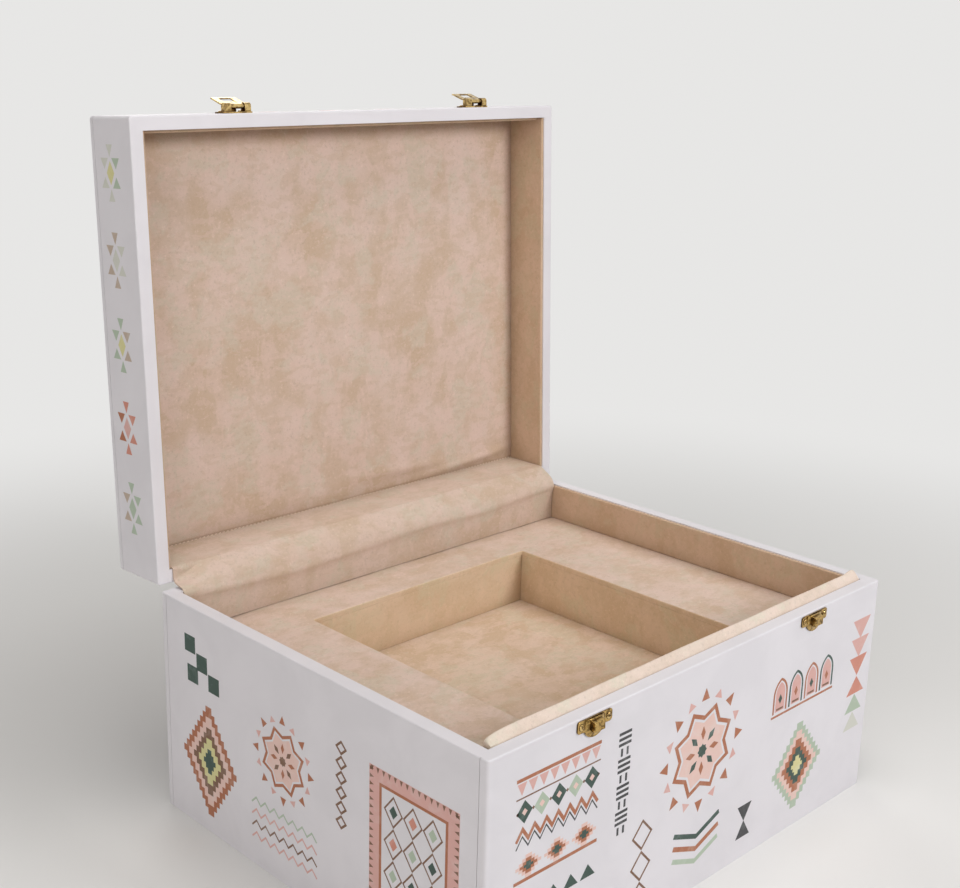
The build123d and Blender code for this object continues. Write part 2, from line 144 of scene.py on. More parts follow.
class Finish:
    """A material, or the world, built node by node."""

    def __init__(self, name, home=None):
        self.home = home or bpy.data.materials.new(name)
        self.home.use_nodes = True
        self.tree = self.home.node_tree
        self.tree.nodes.clear()

    def node(self, kind, settings=None, inputs=None, output=0):
        """Adds a node of this kind, sets it, fills its sockets and returns one output."""
        made = self.tree.nodes.new(kind)
        for key, value in (settings or {}).items():
            setattr(made, key, value)
        for key, value in (inputs or {}).items():
            if isinstance(value, Signal):
                self.tree.links.new(value.socket, made.inputs[key])
            else:
                made.inputs[key].default_value = value
        return Signal(self, made.outputs[output]) if len(made.outputs) else None

    def place(self, stretch=(1, 1, 1), turn=(0, 0, 0), centre=(0, 0, 0)):
        """Object coordinates, moved, turned and stretched by a Mapping node."""
        inputs = {"Vector": self.node("ShaderNodeTexCoord", output=3), "Location": centre}
        inputs |= {"Rotation": turn, "Scale": stretch}
        return self.node("ShaderNodeMapping", {"vector_type": "POINT"}, inputs)

    def cloud(self, place, size, detail=3.0, rough=0.5, warp=0.0):
        """Soft noise from 0 to 1 whose blots are about size millimetres across."""
        inputs = {"Vector": place, "Scale": 1000 / size, "Detail": detail}
        inputs |= {"Roughness": rough, "Distortion": warp}
        return self.node("ShaderNodeTexNoise", {"noise_dimensions": "3D"}, inputs)

    def open_air(self, reach, samples):
        """The air that a place sees within reach millimetres: 1 in the open, less in a corner."""
        inputs = {"Distance": reach / 1000}
        return self.node("ShaderNodeAmbientOcclusion", {"samples": samples}, inputs, output=1)

    def between(self, signal, low, high, to_low=0.0, to_high=1.0):
        """The signal's stretch from low to high, eased and laid over to_low to to_high."""
        settings = {"interpolation_type": "SMOOTHSTEP", "clamp": True}
        values = dict(enumerate([signal, low, high, to_low, to_high]))
        return self.node("ShaderNodeMapRange", settings, values)

    def mix(self, share, first, second):
        """The first colour where share is 0, the second where it is 1."""
        settings = {"data_type": "RGBA", "blend_type": "MIX", "clamp_factor": True}
        return self.node("ShaderNodeMix", settings, {0: share, 6: first, 7: second}, output=2)

    def laid(self, under, over, signal, low, high, share):
        """One colour laid over another, by a share where the signal has come from low to high."""
        return self.mix(self.between(signal, low, high) * share, under, over)

    def relief(self, height, depth):
        """A bumped normal whose hills are depth millimetres high."""
        inputs = {"Height": height, "Distance": depth / 1000, "Strength": 1.0}
        return self.node("ShaderNodeBump", None, inputs)

    def done(self, **sockets):
        """Ends in a Principled BSDF with these sockets, spaces written as underscores."""
        named = {key.replace("_", " "): value for key, value in sockets.items()}
        surface = self.node("ShaderNodeBsdfPrincipled", None, named)
        self.node("ShaderNodeOutputMaterial", None, {"Surface": surface})
        return self.home


print("middle grey as linear light:", round(paint((128, 128, 128))[0], 3))

# %% [markdown]
# ## Suede
# Suede is brushed leather or microfibre: its nap leans one way where a hand last stroked it, and
# the strokes read as patches that differ more in hue than in lightness: tan, a pinker beige and a
# greyer one. The patches are noise that is stretched and warped, so their edges are crisp on one
# side and fade on the other. Small marks, pale and dark flecks and a fine grain break them up, and
# a little sheen lights the nap at grazing angles. The inner corners are painted darker, as shade,
# by how little open air they see.


# %% Suede finish
def suede(
    name, tan, light, stroke, lean=(0, 0, 0), turn=(0, 0, 0), cover=(0.36, 0.66), painted_shade_share=0.34
):
    """Brushed nap: broad clouds from tan to light, and over them the layers in turn, each with
    its colour, its pattern, where the pattern starts and is full, and its share."""
    finish = Finish(name)
    plain = finish.place(centre=lean)
    beside = finish.place(centre=(lean[0] + 3.1, lean[1] - 1.7, lean[2] + 2.3), turn=turn)
    along = finish.place(stretch=(1.0, 1.0, 0.55), turn=turn, centre=lean)
    crossed = finish.place(stretch=(0.5, 1.0, 1.0), turn=(0.5, 0.35, 0.8), centre=lean)
    broad = finish.cloud(plain, stroke * 2.4, detail=3.0, rough=0.55, warp=0.25)
    patch = finish.cloud(beside, stroke * 1.5, detail=5.0, rough=0.55, warp=0.3)
    strokes = finish.cloud(along, stroke, detail=6.0, rough=0.55, warp=0.3)
    marks = finish.cloud(crossed, stroke * 0.30, detail=4.0, rough=0.55, warp=0.3)
    flecks = finish.cloud(plain, 2.3, detail=3.0, rough=0.7)
    fibre = finish.cloud(plain, 0.55, detail=2.0, rough=0.75)
    # Painted shade: corners that see little open air within 24 mm are darkened to a deeper tan.
    corner = finish.open_air(24, samples=6)
    deep, pale, painted_shade_tone = paint(tan, 0.86), paint(light, 1.06), paint(tan, (0.70, 0.64, 0.55))
    grey, pink = paint(light, (0.955, 0.99, 0.96)), paint(light, (1.012, 0.988, 0.985))
    cloudy = finish.between(broad * 0.6 + strokes * 0.4, *cover)
    colour = finish.mix(cloudy, paint(tan), paint(light))
    layers = [
        (grey, patch, 0.50, 0.58, 0.65),
        (pink, strokes, 0.51, 0.54, 0.42),
        (paint(tan), marks, 0.54, 0.57, 0.34),
        (pink, marks, 0.46, 0.43, 0.34),
        (deep, flecks, 0.53, 0.72, 0.34),
        (pale, flecks, 0.42, 0.28, 0.55),
        (pale, fibre, 0.54, 0.82, 0.30),
        (deep, fibre, 0.46, 0.20, 0.26),
        # Painted shade in the inner corners, by how little open air they see.
        (painted_shade_tone, corner, 0.84, 0.46, painted_shade_share),
    ]
    for layer in layers:
        colour = finish.laid(colour, *layer)
    return finish.done(
        Base_Color=colour,
        Roughness=finish.between(cloudy, 0.0, 1.0, 0.97, 0.90),
        Normal=finish.relief(fibre * 0.7 + flecks * 0.6 + marks * 0.35, 0.13),
        Sheen_Weight=0.20,
        Sheen_Roughness=0.55,
        Sheen_Tint=paint((238, 224, 212)),
        Specular_IOR_Level=0.10,
    )


# The lid lining gets more painted shade in its corners, for the shadow under the lid's rim.
lining_suede = suede("lining_suede", (201, 176, 153), (217, 196, 184), 22.0, painted_shade_share=0.5)
side_suede = suede("side_suede", (193, 165, 137), (204, 179, 155), 20.0, lean=(0.3, 0.1, 0.7))
tray_suede = suede(
    "tray_suede", (203, 178, 155), (217, 197, 184), 20.0, lean=(0.1, 0.4, 0.2), turn=(0, 0, 0.7)
)
lip_suede = suede("lip_suede", (219, 200, 184), (227, 212, 199), 18.0, lean=(0.6, 0.2, 0.2))
recess_suede = suede("recess_suede", (207, 180, 148), (217, 194, 167), 26.0, lean=(0.5, 0, 0.1))
floor_suede = suede(
    "floor_suede", (206, 180, 152), (221, 200, 182), 22.0, lean=(0.2, 0.8, 0), cover=(0.42, 0.66)
)
flap_suede = suede(
    "flap_suede", (199, 176, 154), (212, 193, 180), 20.0, lean=(0.7, 0.3, 0.4), turn=(0, 0.9, 0)
)
print("suedes mixed")

# %% [markdown]
# ## Printed wrap, board, felt and metal
# The wrap is a coated white paper with a faint leather grain, satin rather than glossy. Where
# boards show, they are raw pressed fibre. The underside is a grey felt. The latches are brass
# that was tumbled and lacquered, so its edges are bright and its faces are stained in blots. Its
# hollows are painted browner, as shade. The keepers are painted darker than the hasps, for the
# darker reflections they would catch.


# %% Rigid finishes
def coated_paper(name, colour):
    """White coated paper: a pebbled grain of 0.5 mm, faint clouding and a satin surface."""
    finish = Finish(name)
    plain = finish.place()
    grain = {"Vector": plain, "Scale": 1800.0, "Randomness": 1.0}
    pebble = finish.node("ShaderNodeTexVoronoi", {"feature": "F1"}, grain)
    tooth = finish.cloud(plain, 0.9, detail=3.0, rough=0.6)
    wear = finish.cloud(plain, 46.0, detail=3.0, rough=0.55, warp=0.5)
    dull = paint(colour, 0.965)
    clouded = finish.laid(paint(colour), dull, wear, 0.35, 0.7, 0.6)
    return finish.done(
        Base_Color=finish.laid(clouded, dull, tooth, 0.6, 0.85, 0.25),
        Roughness=finish.between(wear, 0.3, 0.7, 0.46, 0.56),
        Normal=finish.relief(pebble * 0.5 + tooth * 0.6, 0.035),
        Specular_IOR_Level=0.36,
    )


def fibre_board(name, colour):
    """Raw pressed board: long pale fibres over a brown ground, dull and slightly furry."""
    finish = Finish(name)
    long_fibre = finish.cloud(finish.place(stretch=(0.25, 0.9, 1.0)), 1.6, detail=5.0, rough=0.7)
    blot = finish.cloud(finish.place(), 9.0, detail=3.0)
    base = finish.mix(long_fibre * 0.55 + blot * 0.35, paint(colour, 0.78), paint(colour))
    return finish.done(Base_Color=base, Roughness=0.88, Normal=finish.relief(long_fibre, 0.15))


def felt(name, colour):
    """Pressed felt: short fibres in every direction over a soft clouding."""
    finish = Finish(name)
    hair = finish.cloud(finish.place(stretch=(1, 0.3, 1)), 0.8, detail=4.0, rough=0.75, warp=1.5)
    blot = finish.cloud(finish.place(), 22.0, detail=2.0)
    share = finish.between(hair, 0.3, 0.7) * 0.7 + blot * 0.3
    return finish.done(
        Base_Color=finish.mix(share, paint(colour, 0.7), paint(colour)),
        Roughness=0.95,
        Normal=finish.relief(hair, 0.2),
        Sheen_Weight=0.3,
        Sheen_Roughness=0.6,
    )


def metal(name, bright, brown, smooth, rough, edge):
    """Lacquered metal: a bevelled normal rounds each edge by edge millimetres, and hollows, found
    by how little open air they see, are painted brown as shade."""
    finish = Finish(name)
    stain = finish.cloud(finish.place(), 3.4, detail=4.0, rough=0.6, warp=0.6)
    drawn = finish.cloud(finish.place(stretch=(0.16, 1, 1)), 0.5, detail=2.0, rough=0.6)
    rounded = finish.node("ShaderNodeBevel", {"samples": 6}, {"Radius": edge / 1000})
    stained = finish.laid(paint(bright), paint(brown), stain, 0.42, 0.60, 0.72)
    # Painted shade: hollows that see little open air within 4 mm are browned.
    painted_shade_share = finish.between(finish.open_air(4, samples=8), 0.97, 0.55)
    dents = {"Height": stain * 0.7 + drawn * 0.3, "Distance": 0.00008, "Strength": 0.8}
    return finish.done(
        Base_Color=finish.mix(painted_shade_share, stained, paint(brown)),
        Metallic=1.0,
        Roughness=finish.between(stain * 0.6 + drawn * 0.4, 0.35, 0.65, smooth, rough),
        Normal=finish.node("ShaderNodeBump", None, dents | {"Normal": rounded}),
    )


white_paper = coated_paper("white_paper", (224, 221, 225))
raw_board = fibre_board("raw_board", (176, 146, 108))
grey_felt = felt("grey_felt", (118, 112, 108))
brass = metal("brass", (226, 196, 132), (96, 66, 30), 0.10, 0.24, 0.22)
# Keepers: the brass painted darker, for the darker reflections they would catch.
brass_painted_darker = metal("brass_painted_darker", (204, 170, 104), (72, 48, 20), 0.10, 0.26, 0.22)
steel = metal("steel", (214, 200, 168), (150, 138, 118), 0.22, 0.38, 0.15)
print("rigid finishes mixed")

# %% Finishes on the rigid parts
dressing = {
    "wrap": white_paper,
    "underside_sheet": grey_felt,
    "keeper": brass_painted_darker,
    "hasp": brass,
    "hinge": steel,
    "tray_board": raw_board,
    "cleats": raw_board,
    "board": raw_board,
}
for name, part in nodes.items():
    finish = next((look for word, look in dressing.items() if word in name), None)
    if finish:
        part.data.materials.clear()
        part.data.materials.append(finish)
print("dressed", sum(1 for part in nodes.values() if part.data.materials), "parts")

# %% [markdown]
# ## Surfaces from grids
# Each soft piece is a grid of points worked out as a whole array. The first index runs to the
# right and the second runs up, so the cells' normals point out of the surface. A sheet becomes a
# closed skin when a second grid behind it is turned over and a strip of cells joins the edges.


# %% Grid helpers
def quads(right, up, close_right=False, close_up=False):
    """Cells (i, j), (i + 1, j), (i + 1, j + 1), (i, j + 1) of a grid; a closed side wraps."""
    i = np.arange(right if close_right else right - 1)[:, None]
    j = np.arange(up if close_up else up - 1)[None, :]
    i_next, j_next = (i + 1) % right, (j + 1) % up
    corners = (i * up + j, i_next * up + j, i_next * up + j_next, i * up + j_next)
    return np.stack(corners, -1).reshape(-1, 4)


def skin(front, back):
    """A closed skin between two grids: front, back turned over, and a strip round the rim."""
    right, up = front.shape[:2]
    number = np.arange(right * up).reshape(right, up)
    sides = number[:-1, 0], number[-1, :-1], number[:0:-1, -1], number[0, :0:-1]
    rim = np.concatenate(sides)
    after, behind = np.roll(rim, -1), right * up
    cells = quads(right, up)
    strip = np.stack([rim + behind, after + behind, after, rim], -1)
    faces = np.concatenate([cells, cells[:, ::-1] + behind, strip])
    return np.concatenate([front.reshape(-1, 3), back.reshape(-1, 3)]), faces


def piece(name, points, faces, look, slot=None, body=None, sharp=38.0):
    """A mesh object at the origin, from points in millimetres, with one look."""
    mesh = bpy.data.meshes.new(name)
    faces = faces.tolist() if isinstance(faces, np.ndarray) else faces
    mesh.from_pydata((np.asarray(points, float).reshape(-1, 3) / 1000).tolist(), [], faces)
    mesh.materials.append(look)
    mesh.polygons.foreach_set("use_smooth", np.ones(len(mesh.polygons), bool))
    mesh.set_sharp_from_angle(angle=radians(sharp))
    made = bpy.data.objects.new(name, mesh)
    bpy.context.scene.collection.objects.link(made)
    if body:
        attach(made, body)
    return made


def ripple(u, v, length, amount, seed):
    """Gentle unevenness: ten cosine waves of seeded directions and lengths, added and scaled."""
    chance = np.random.default_rng(seed)
    way, phase = chance.uniform(0, 2 * pi, (2, 10))
    number = 2 * pi / (length * chance.uniform(0.7, 1.7, 10))
    across = u[..., None] * np.cos(way) + v[..., None] * np.sin(way)
    return amount * np.cos(number * across + phase).sum(-1) / 10**0.5


def spaced(length, roll, step):
    """Places along an edge: close together inside the roll at both ends, step apart between."""
    near = roll * (1 - np.cos(np.linspace(0, pi / 2, 6)))
    middle = np.linspace(roll, length - roll, max(3, int(length / step)))
    return np.unique(np.concatenate([near, middle, length - near]).round(6))


def set_in(local, corner, right, up):
    """Local u, v and w carried to a corner, with out as the cross product of right and up."""
    axes = np.array([right, up, np.cross(right, up)], float)
    return local @ axes + np.array(corner, float)


def pad(width, height, thick, roll=1.2, crown=0.0, wave=0.12, seed=1, step=5.0):
    """A lining panel: its face falls by a quarter round at the edges, swells by a crown that is
    the product of two half sines, and waves by a ripple that fades out at the edges."""
    u, v = np.meshgrid(spaced(width, roll, step), spaced(height, roll, step), indexing="ij")
    near = np.minimum(np.minimum(u, width - u), np.minimum(v, height - v))
    swell = crown * np.sin(pi * u / width) * np.sin(pi * v / height)
    inside = np.clip(near / 12, 0, 1)
    w = thick - round_off(near, roll, roll) + swell + inside * ripple(u, v, 55, wave, seed)
    return np.stack([u, v, w], -1), np.stack([u, v, 0 * w], -1)


def round_off(near, reach, depth):
    """Fall of a rounded edge: a quarter of an ellipse, reach wide and depth deep."""
    return depth * (1 - np.sqrt(1 - (1 - np.clip(near / reach, 0, 1)) ** 2))


print("grid of 3 by 4 points has", len(quads(3, 4)), "cells")

# %% [markdown]
# ## Drawn shut, shown open
# The lid's lining is measured with the lid shut, where every face is square to the axes, and
# then turned about the hinge pin by the same angle as the lid itself.

# %% The hinge line
hinge = next(joint for joint in frame["joints"] if joint["name"] == "lid_hinge")
pin = np.array(hinge["pos_m"]) * 1000
lid_angle = radians(hinge["range_deg"][1])


def swung(points, angle):
    """Points turned about the hinge pin, so that y and z rotate by the angle."""
    rolled = np.array([[1, 0, 0], [0, cos(angle), sin(angle)], [0, -sin(angle), cos(angle)]])
    return (np.asarray(points, float) - pin) @ rolled + pin


def open_lid(points):
    """Points of the shut lid, opened."""
    return swung(points, -lid_angle)


def shut_box(name):
    """Lowest and highest corner, in millimetres, of a lid node turned back to shut."""
    shut = swung(np.array([v.co for v in nodes[name].data.vertices]) * 1000, lid_angle)
    return shut.min(0), shut.max(0)


def rest_box(name):
    """Lowest and highest corner of a node as it stands, in millimetres."""
    low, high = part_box(name)
    return np.array(low) * 1000, np.array(high) * 1000


print("hinge pin at", pin.round(1))

# %% [markdown]
# ## Suede on the walls
# Each lining is card covered in suede and glued in, so its edges turn over softly. A panel keeps
# the place and size of its plain solid: it starts at one corner of that solid's box and runs
# along the wall, so that its face looks into the chest.

# %% Linings
X, Y, Z = (1, 0, 0), (0, 1, 0), (0, 0, 1)
back_x, back_y = (-1, 0, 0), (0, -1, 0)
# For each side, the way its lining runs, and whether it starts at the low or high x and y.
runs = {"left": (Y, 0, 0), "right": (back_y, 1, 1), "back": (X, 0, 1), "front": (back_x, 1, 0)}


def lined(name, node, side, look, body, rests, reach=0.0, **shape):
    """A panel that stands for the plain lining node on this side, made taller by reach."""
    shut = body == "lid"
    low, high = shut_box(node) if shut else rest_box(node)
    wide, deep, tall = high - low
    size, corner, right, up = (wide, deep, tall), low, X, Y
    if side in runs:
        right, at_x, at_y = runs[side]
        along, thick = (wide, deep) if side in ("back", "front") else (deep, wide)
        size, up = (along, tall + reach, thick), Z
        corner = ((low, high)[at_x][0], (low, high)[at_y][1], low[2])
    points, faces = skin(*(set_in(layer, corner, right, up) for layer in pad(*size, **shape)))
    made = piece(name, open_lid(points) if shut else points, faces, look, "suede", body)
    cut = (round(size[0] / 1000, 4), round(size[1] / 1000, 4))
    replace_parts(made, node)
    print(name, np.round(size, 1))


for seed, side in enumerate(("left", "right"), 3):
    lined(
        f"base_{side}_suede", f"base_{side}_lining", side, side_suede, "base",
        f"base_{side}_board", roll=1.1, seed=seed,
    )  # fmt: skip
for seed, side in enumerate(("back", "front", "left", "right"), 20):
    lined(
        f"recess_{side}_suede", f"recess_{side}_wall", side, recess_suede, "base", "tray_board",
        roll=0.5, wave=0.16, seed=seed,
    )  # fmt: skip
lined(
    "recess_floor_suede", "recess_floor", "floor", floor_suede, "base", "recess_left_wall",
    roll=0.4, crown=0.5, wave=0.18, seed=31, step=4.0,
)  # fmt: skip

# %% [markdown]
# ## The tray
# The platform round the recess is a board wrapped in one piece of suede, which rolls over the
# edge of the opening. It is a closed band: rings of points run round the opening, first up its
# inner side, over the roll, out to the walls, and back along the underside.


# %% Tray cover
def loop(half_x, half_y, radius, along=26, bend=5):
    """A rounded rectangle, anticlockwise: each corner's arc, then the straight run to the next."""
    found = []
    for turn, signs in enumerate(((1, 1), (-1, 1), (-1, -1), (1, -1))):
        angle = np.linspace(0, pi / 2, bend) + turn * pi / 2
        middle = np.array(signs) * [half_x - radius, half_y - radius]
        found.append(radius * np.stack([np.cos(angle), np.sin(angle)], -1) + middle)
    runs = []
    for arc, following in zip(found, found[1:] + found[:1]):
        share = np.linspace(0, 1, along)[1:-1, None]
        runs += [arc, arc[-1] * (1 - share) + following[0] * share]
    return np.concatenate(runs)


def level(outline, height):
    """A flat outline lifted to a height."""
    return np.column_stack([outline, np.full(len(outline), height)])


low, high = rest_box("tray_board")
half_x = -rest_box("recess_left_wall")[1][0]
half_y = -rest_box("recess_front_wall")[1][1]
roll = 0.9
# Each ring of the inner part is some way out from the opening, at some height.
inner = [(0.0, low[2]), (0.0, low[2] + 1.2)]
inner += [
    (roll * (1 - cos(a)), high[2] - roll * (1 - sin(a))) for a in np.linspace(0, pi / 2, 6)
]
inner += [(out, high[2]) for out in (1.8, 3.2, 5.0)]
rings = [level(loop(half_x + out, half_y + out, 1.0 + out), height) for out, height in inner]
last, outer = rings[-1], level(loop(high[0], high[1], 0.2), high[2])
rings += [last * (1 - share) + outer * share for share in np.linspace(0, 1, 22)[1:]]
rings.append(outer * [1, 1, 0] + [0, 0, low[2]])
band = np.stack(rings, 1)
ease = np.concatenate([np.zeros(8), np.linspace(0.2, 1, 3), np.ones(20), [0, 0]])
band[..., 2] += ease * ripple(band[..., 0], band[..., 1], 60, 0.20, 41)
faces = quads(*band.shape[:2], close_right=True, close_up=True)[:, ::-1]
tray_cover = piece("tray_cover", band, faces, tray_suede, "suede", "base")
tray_cover.data.materials.append(recess_suede)
on_inner_side = np.arange(len(faces)) % band.shape[1] < 5
tray_cover.data.polygons.foreach_set("material_index", on_inner_side.astype("int32"))
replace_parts(tray_cover, "tray_board")
cut = np.array([2 * high[0], 2 * high[1]]) / 1000
hole = 4 * half_x * half_y / 1e6
round(float(cut.prod() - hole), 5)  # fmt: skip
print("tray cover", band.shape, "opening", half_x.round(1), half_y.round(1))

# %% [markdown]
# ## The padded lip
# A strip of suede over foam lines the front wall and stands a few millimetres above the rim, to
# guide the lid as it shuts. Its section rises steeply on the inside, turns over a ridge and falls
# in one soft slope to the rim. The section is carried along the wall. The foam sinks a little at
# the left end and is squeezed up at the right end, where the strip was cut.

# %% Front lip
low, high = rest_box("front_lip")
inner_roll, end_roll, seat, squeezed = 1.3, 2.4, 162.7, 5
ridge = high[1] - inner_roll
x = spaced(high[0] - low[0], end_roll, 2.6) + low[0]
x = np.unique(np.concatenate([x, [high[0] - squeezed - 1, high[0] - squeezed + 1]]))
shrink = round_off(np.minimum(x - low[0], high[0] - x), end_roll, 1.6)
bulge = 1.5 * np.exp(-(((high[0] - squeezed - x) / squeezed) ** 2))
sinking = 2.4 * np.exp(-(x - low[0]) / 6)
rise = 1.1 + bulge + ripple(x, x * 0, 60, 0.20, 51)
crest = (high[2] + rise - shrink - sinking)[:, None]
sweep = np.concatenate([np.linspace(pi, pi / 2, 17)[:-1], np.linspace(pi / 2, 0, 9)])[None]
outside = sweep > pi / 2
y = ridge + np.cos(sweep) * np.where(outside, ridge - low[1], inner_roll) + 0 * crest
over = np.where(outside, np.abs(np.cos(sweep)) ** 1.4, 1 - np.sin(sweep))
z = crest - np.where(outside, crest - seat, inner_roll) * over
down = np.linspace(0, 1, 8)[None]
front_run = np.stack([y[:, :1] + down * 0, low[2] + (z[:, :1] - low[2]) * down], -1)
back_run = np.stack([y[:, -1:] + down * 0, z[:, -1:] + (low[2] - z[:, -1:]) * down], -1)
section = np.concatenate([front_run[:, :-1], np.stack([y, z], -1), back_run[:, 1:]], 1)
lip = np.concatenate([np.broadcast_to(x[:, None, None], section.shape[:2] + (1,)), section], -1)
around = lip.shape[1]
faces = quads(*lip.shape[:2], close_up=True).tolist()
faces.append(list(range(around)))
faces.append(list(range(lip.shape[0] * around - 1, (lip.shape[0] - 1) * around - 1, -1)))
lip_pad = piece("front_lip_pad", lip, faces, lip_suede, "suede", "base")
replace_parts(lip_pad, "front_lip")
print("lip", lip.shape, "highest", lip[..., 2].max().round(1))

# %% [markdown]
# ## The lid's lining
# One padded panel fills the inside of the lid. It ends in a hem near the hinge, sewn down with a
# running stitch just above its edge. How cloth swells between its fixed edges is hard to draw but
# easy to simulate, so a flat grid is pinned round its rim and along the seam, given a little
# spare length near the hem, and pushed out by air. The foam behind it is thin, so the swelling is
# levelled off softly at a cap. The seam's channel and its puckers are added afterwards.

# %% Lid linings
pad_low, pad_high = shut_box("lid_top_pad")
inside = pad_high[0] - 0.2
hem_y, seam_up, pitch = 148.1, 2.6, 3.5


def blown(u, v, held, spare, frames=20):
    """Height, in millimetres, of a cloth on the grid u, v after it is pushed out by air for some
    frames. Points where held is true stay; where spare is 1 the cloth is 3 percent too long."""
    trial = piece("trial_cloth", np.stack([u, v, 0 * u], -1), quads(*u.shape), lining_suede)
    fixed = trial.vertex_groups.new(name="fixed")
    fixed.add(np.flatnonzero(held.ravel()).tolist(), 1.0, "REPLACE")
    longer = trial.vertex_groups.new(name="longer")
    for level in range(1, 5):
        ring = (spare.ravel() * 4).round() == level
        longer.add(np.flatnonzero(ring).tolist(), level / 4, "REPLACE")
    modifier = trial.modifiers.new("cloth", "CLOTH")
    cloth = modifier.settings
    cloth.quality, cloth.mass, cloth.air_damping = 6, 0.15, 4.0
    cloth.tension_stiffness = cloth.compression_stiffness = cloth.shear_stiffness = 12.0
    cloth.bending_stiffness = 0.6
    cloth.vertex_group_mass, cloth.vertex_group_shrink = "fixed", "longer"
    cloth.shrink_min, cloth.shrink_max = 0.0, -0.03
    cloth.use_pressure, cloth.uniform_pressure_force = True, 3.0
    cloth.effector_weights.gravity = 0.0
    modifier.point_cache.frame_start, modifier.point_cache.frame_end = 1, frames
    for number in range(1, frames + 1):
        bpy.context.scene.frame_set(number)
    settled = trial.evaluated_get(bpy.context.evaluated_depsgraph_get()).data
    places = np.empty(u.size * 3)
    settled.vertices.foreach_get("co", places)
    sheet = trial.data
    bpy.data.objects.remove(trial)
    bpy.data.meshes.remove(sheet)
    bpy.context.scene.frame_set(1)
    return places.reshape(*u.shape, 3)[..., 2] * 1000

def bell(u, v, middle, spread, amount):
    """A bell-shaped rise about a middle point, with a spread along u and one along v. The
    middle's third value leans the bell's ridge: v rises by that share of u."""
    off = v - middle[1] - middle[2] * (u - middle[0])
    return amount * np.exp(-(((u - middle[0]) / spread[0]) ** 2) - ((off / spread[1]) ** 2))


def hem(u, v):
    """Change of height near the hem: a bell-shaped channel at the seam, puckered once a stitch,
    and two long soft folds that run down to the right end."""
    channel = -0.60 * np.exp(-(((v - seam_up) / 0.9) ** 2))
    pucker = 0.22 * np.cos(2 * pi * u / pitch) * np.exp(-(((v - seam_up) / 1.3) ** 2))
    lower = bell(u, v, (325, 9, 0.06), (48, 4.2), 1.7)
    upper = bell(u, v, (250, 17, -0.04), (55, 4.5), 1.0)
    return channel + pucker + (lower + upper)


def sampled(field, u, v):
    """A coarse field read at finer places: joined by straight lines along v, then along u."""
    rows = np.stack([np.interp(v - seam_up, coarse_v[0], line) for line in field])
    return np.stack([np.interp(u, coarse_u[:, 0], line) for line in rows.T], -1)


panel_size = (2 * inside, hem_y - pad_low[1] - 0.2, pad_high[2] - pad_low[2])
panel_corner = (-inside, hem_y, pad_high[2])
long, wide, thick = panel_size
coarse_u, coarse_v = np.meshgrid(
    np.linspace(0, long, 109), np.linspace(0, wide - seam_up, 85), indexing="ij"
)
edge = np.minimum(np.minimum(coarse_u, long - coarse_u), coarse_v)
held = np.minimum(edge, wide - seam_up - coarse_v) < 0.01
spare = np.exp(-((coarse_v / 28) ** 2)) * (0.35 + 0.65 * np.exp(-(((coarse_u - 300) / 90) ** 2)))
swelling = blown(coarse_u, coarse_v, held, spare)
print("cloth swells", swelling.min().round(2), "to", swelling.max().round(2), "mm before the cap")

stitch_columns = np.arange(3.0, 376, pitch / 2)
u = np.unique(np.concatenate([spaced(long, 7.0, 3.5), stitch_columns]).round(4))
turned = 1.0 * (1 - np.cos(np.linspace(0, pi / 2, 5)))
v = np.concatenate([spaced(wide, 7.0, 4.5), turned, np.arange(1.2, 22, 0.5)])
v = np.unique(v.round(4))
air = sampled(swelling, u, v)
u, v = np.meshgrid(u, v, indexing="ij")
near = np.minimum(np.minimum(u, long - u), wide - v)
cap = 1.3
puffed = cap * np.tanh(np.clip(air, -1, None) / cap)
w = thick - 0.6 + puffed - round_off(near, 3.5, 0.8) - round_off(v, 1.0, 0.5)
w = w + np.clip(near / 16, 0, 1) * ripple(u, v, 80, 0.22, 61) + hem(u, v) * np.clip(near / 4, 0, 1)
local = np.stack([u, v, w], -1)
backing = np.stack([u, v, w * 0], -1)
front, back = (open_lid(set_in(side, panel_corner, X, back_y)) for side in (local, backing))
lid_panel = piece("lid_top_lining", *skin(front, back), lining_suede, "suede", "lid")
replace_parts(lid_panel, "lid_top_pad")
print("lid panel", np.round(panel_size, 1), front.shape)

# %% [markdown]
# ## The lid's side linings
# They are made like those of the base, and reach a little into the padded panel, so that no gap
# shows where it rounds off.

# %% Lid side linings
for seed, side in enumerate(("left", "right", "front"), 70):
    lined(
        f"lid_{side}_suede", f"lid_{side}_lining", side, side_suede, "lid", f"lid_{side}_board",
        reach=1.6, roll=1.0, seed=seed,
    )  # fmt: skip

# %% [markdown]
# ## The running stitch
# Each stitch is one short bead of thread, sunk at both ends. All of them are one bead repeated
# along the seam by adding an array of places to an array of points.


# %% Hem stitches
def thread(name, colour):
    """Twisted sewing thread: diagonal plies as a wave across the bead."""
    finish = Finish(name)
    plain = finish.place(turn=(0, 0.6, 0))
    ply = finish.node(
        "ShaderNodeTexWave",
        {"wave_type": "BANDS", "bands_direction": "X"},
        {"Vector": plain, "Scale": 700.0, "Distortion": 0.6},
        output=1,
    )
    return finish.done(
        Base_Color=finish.mix(ply, paint(colour, 0.84), paint(colour)),
        Roughness=0.7,
        Normal=finish.relief(ply, 0.06),
    )


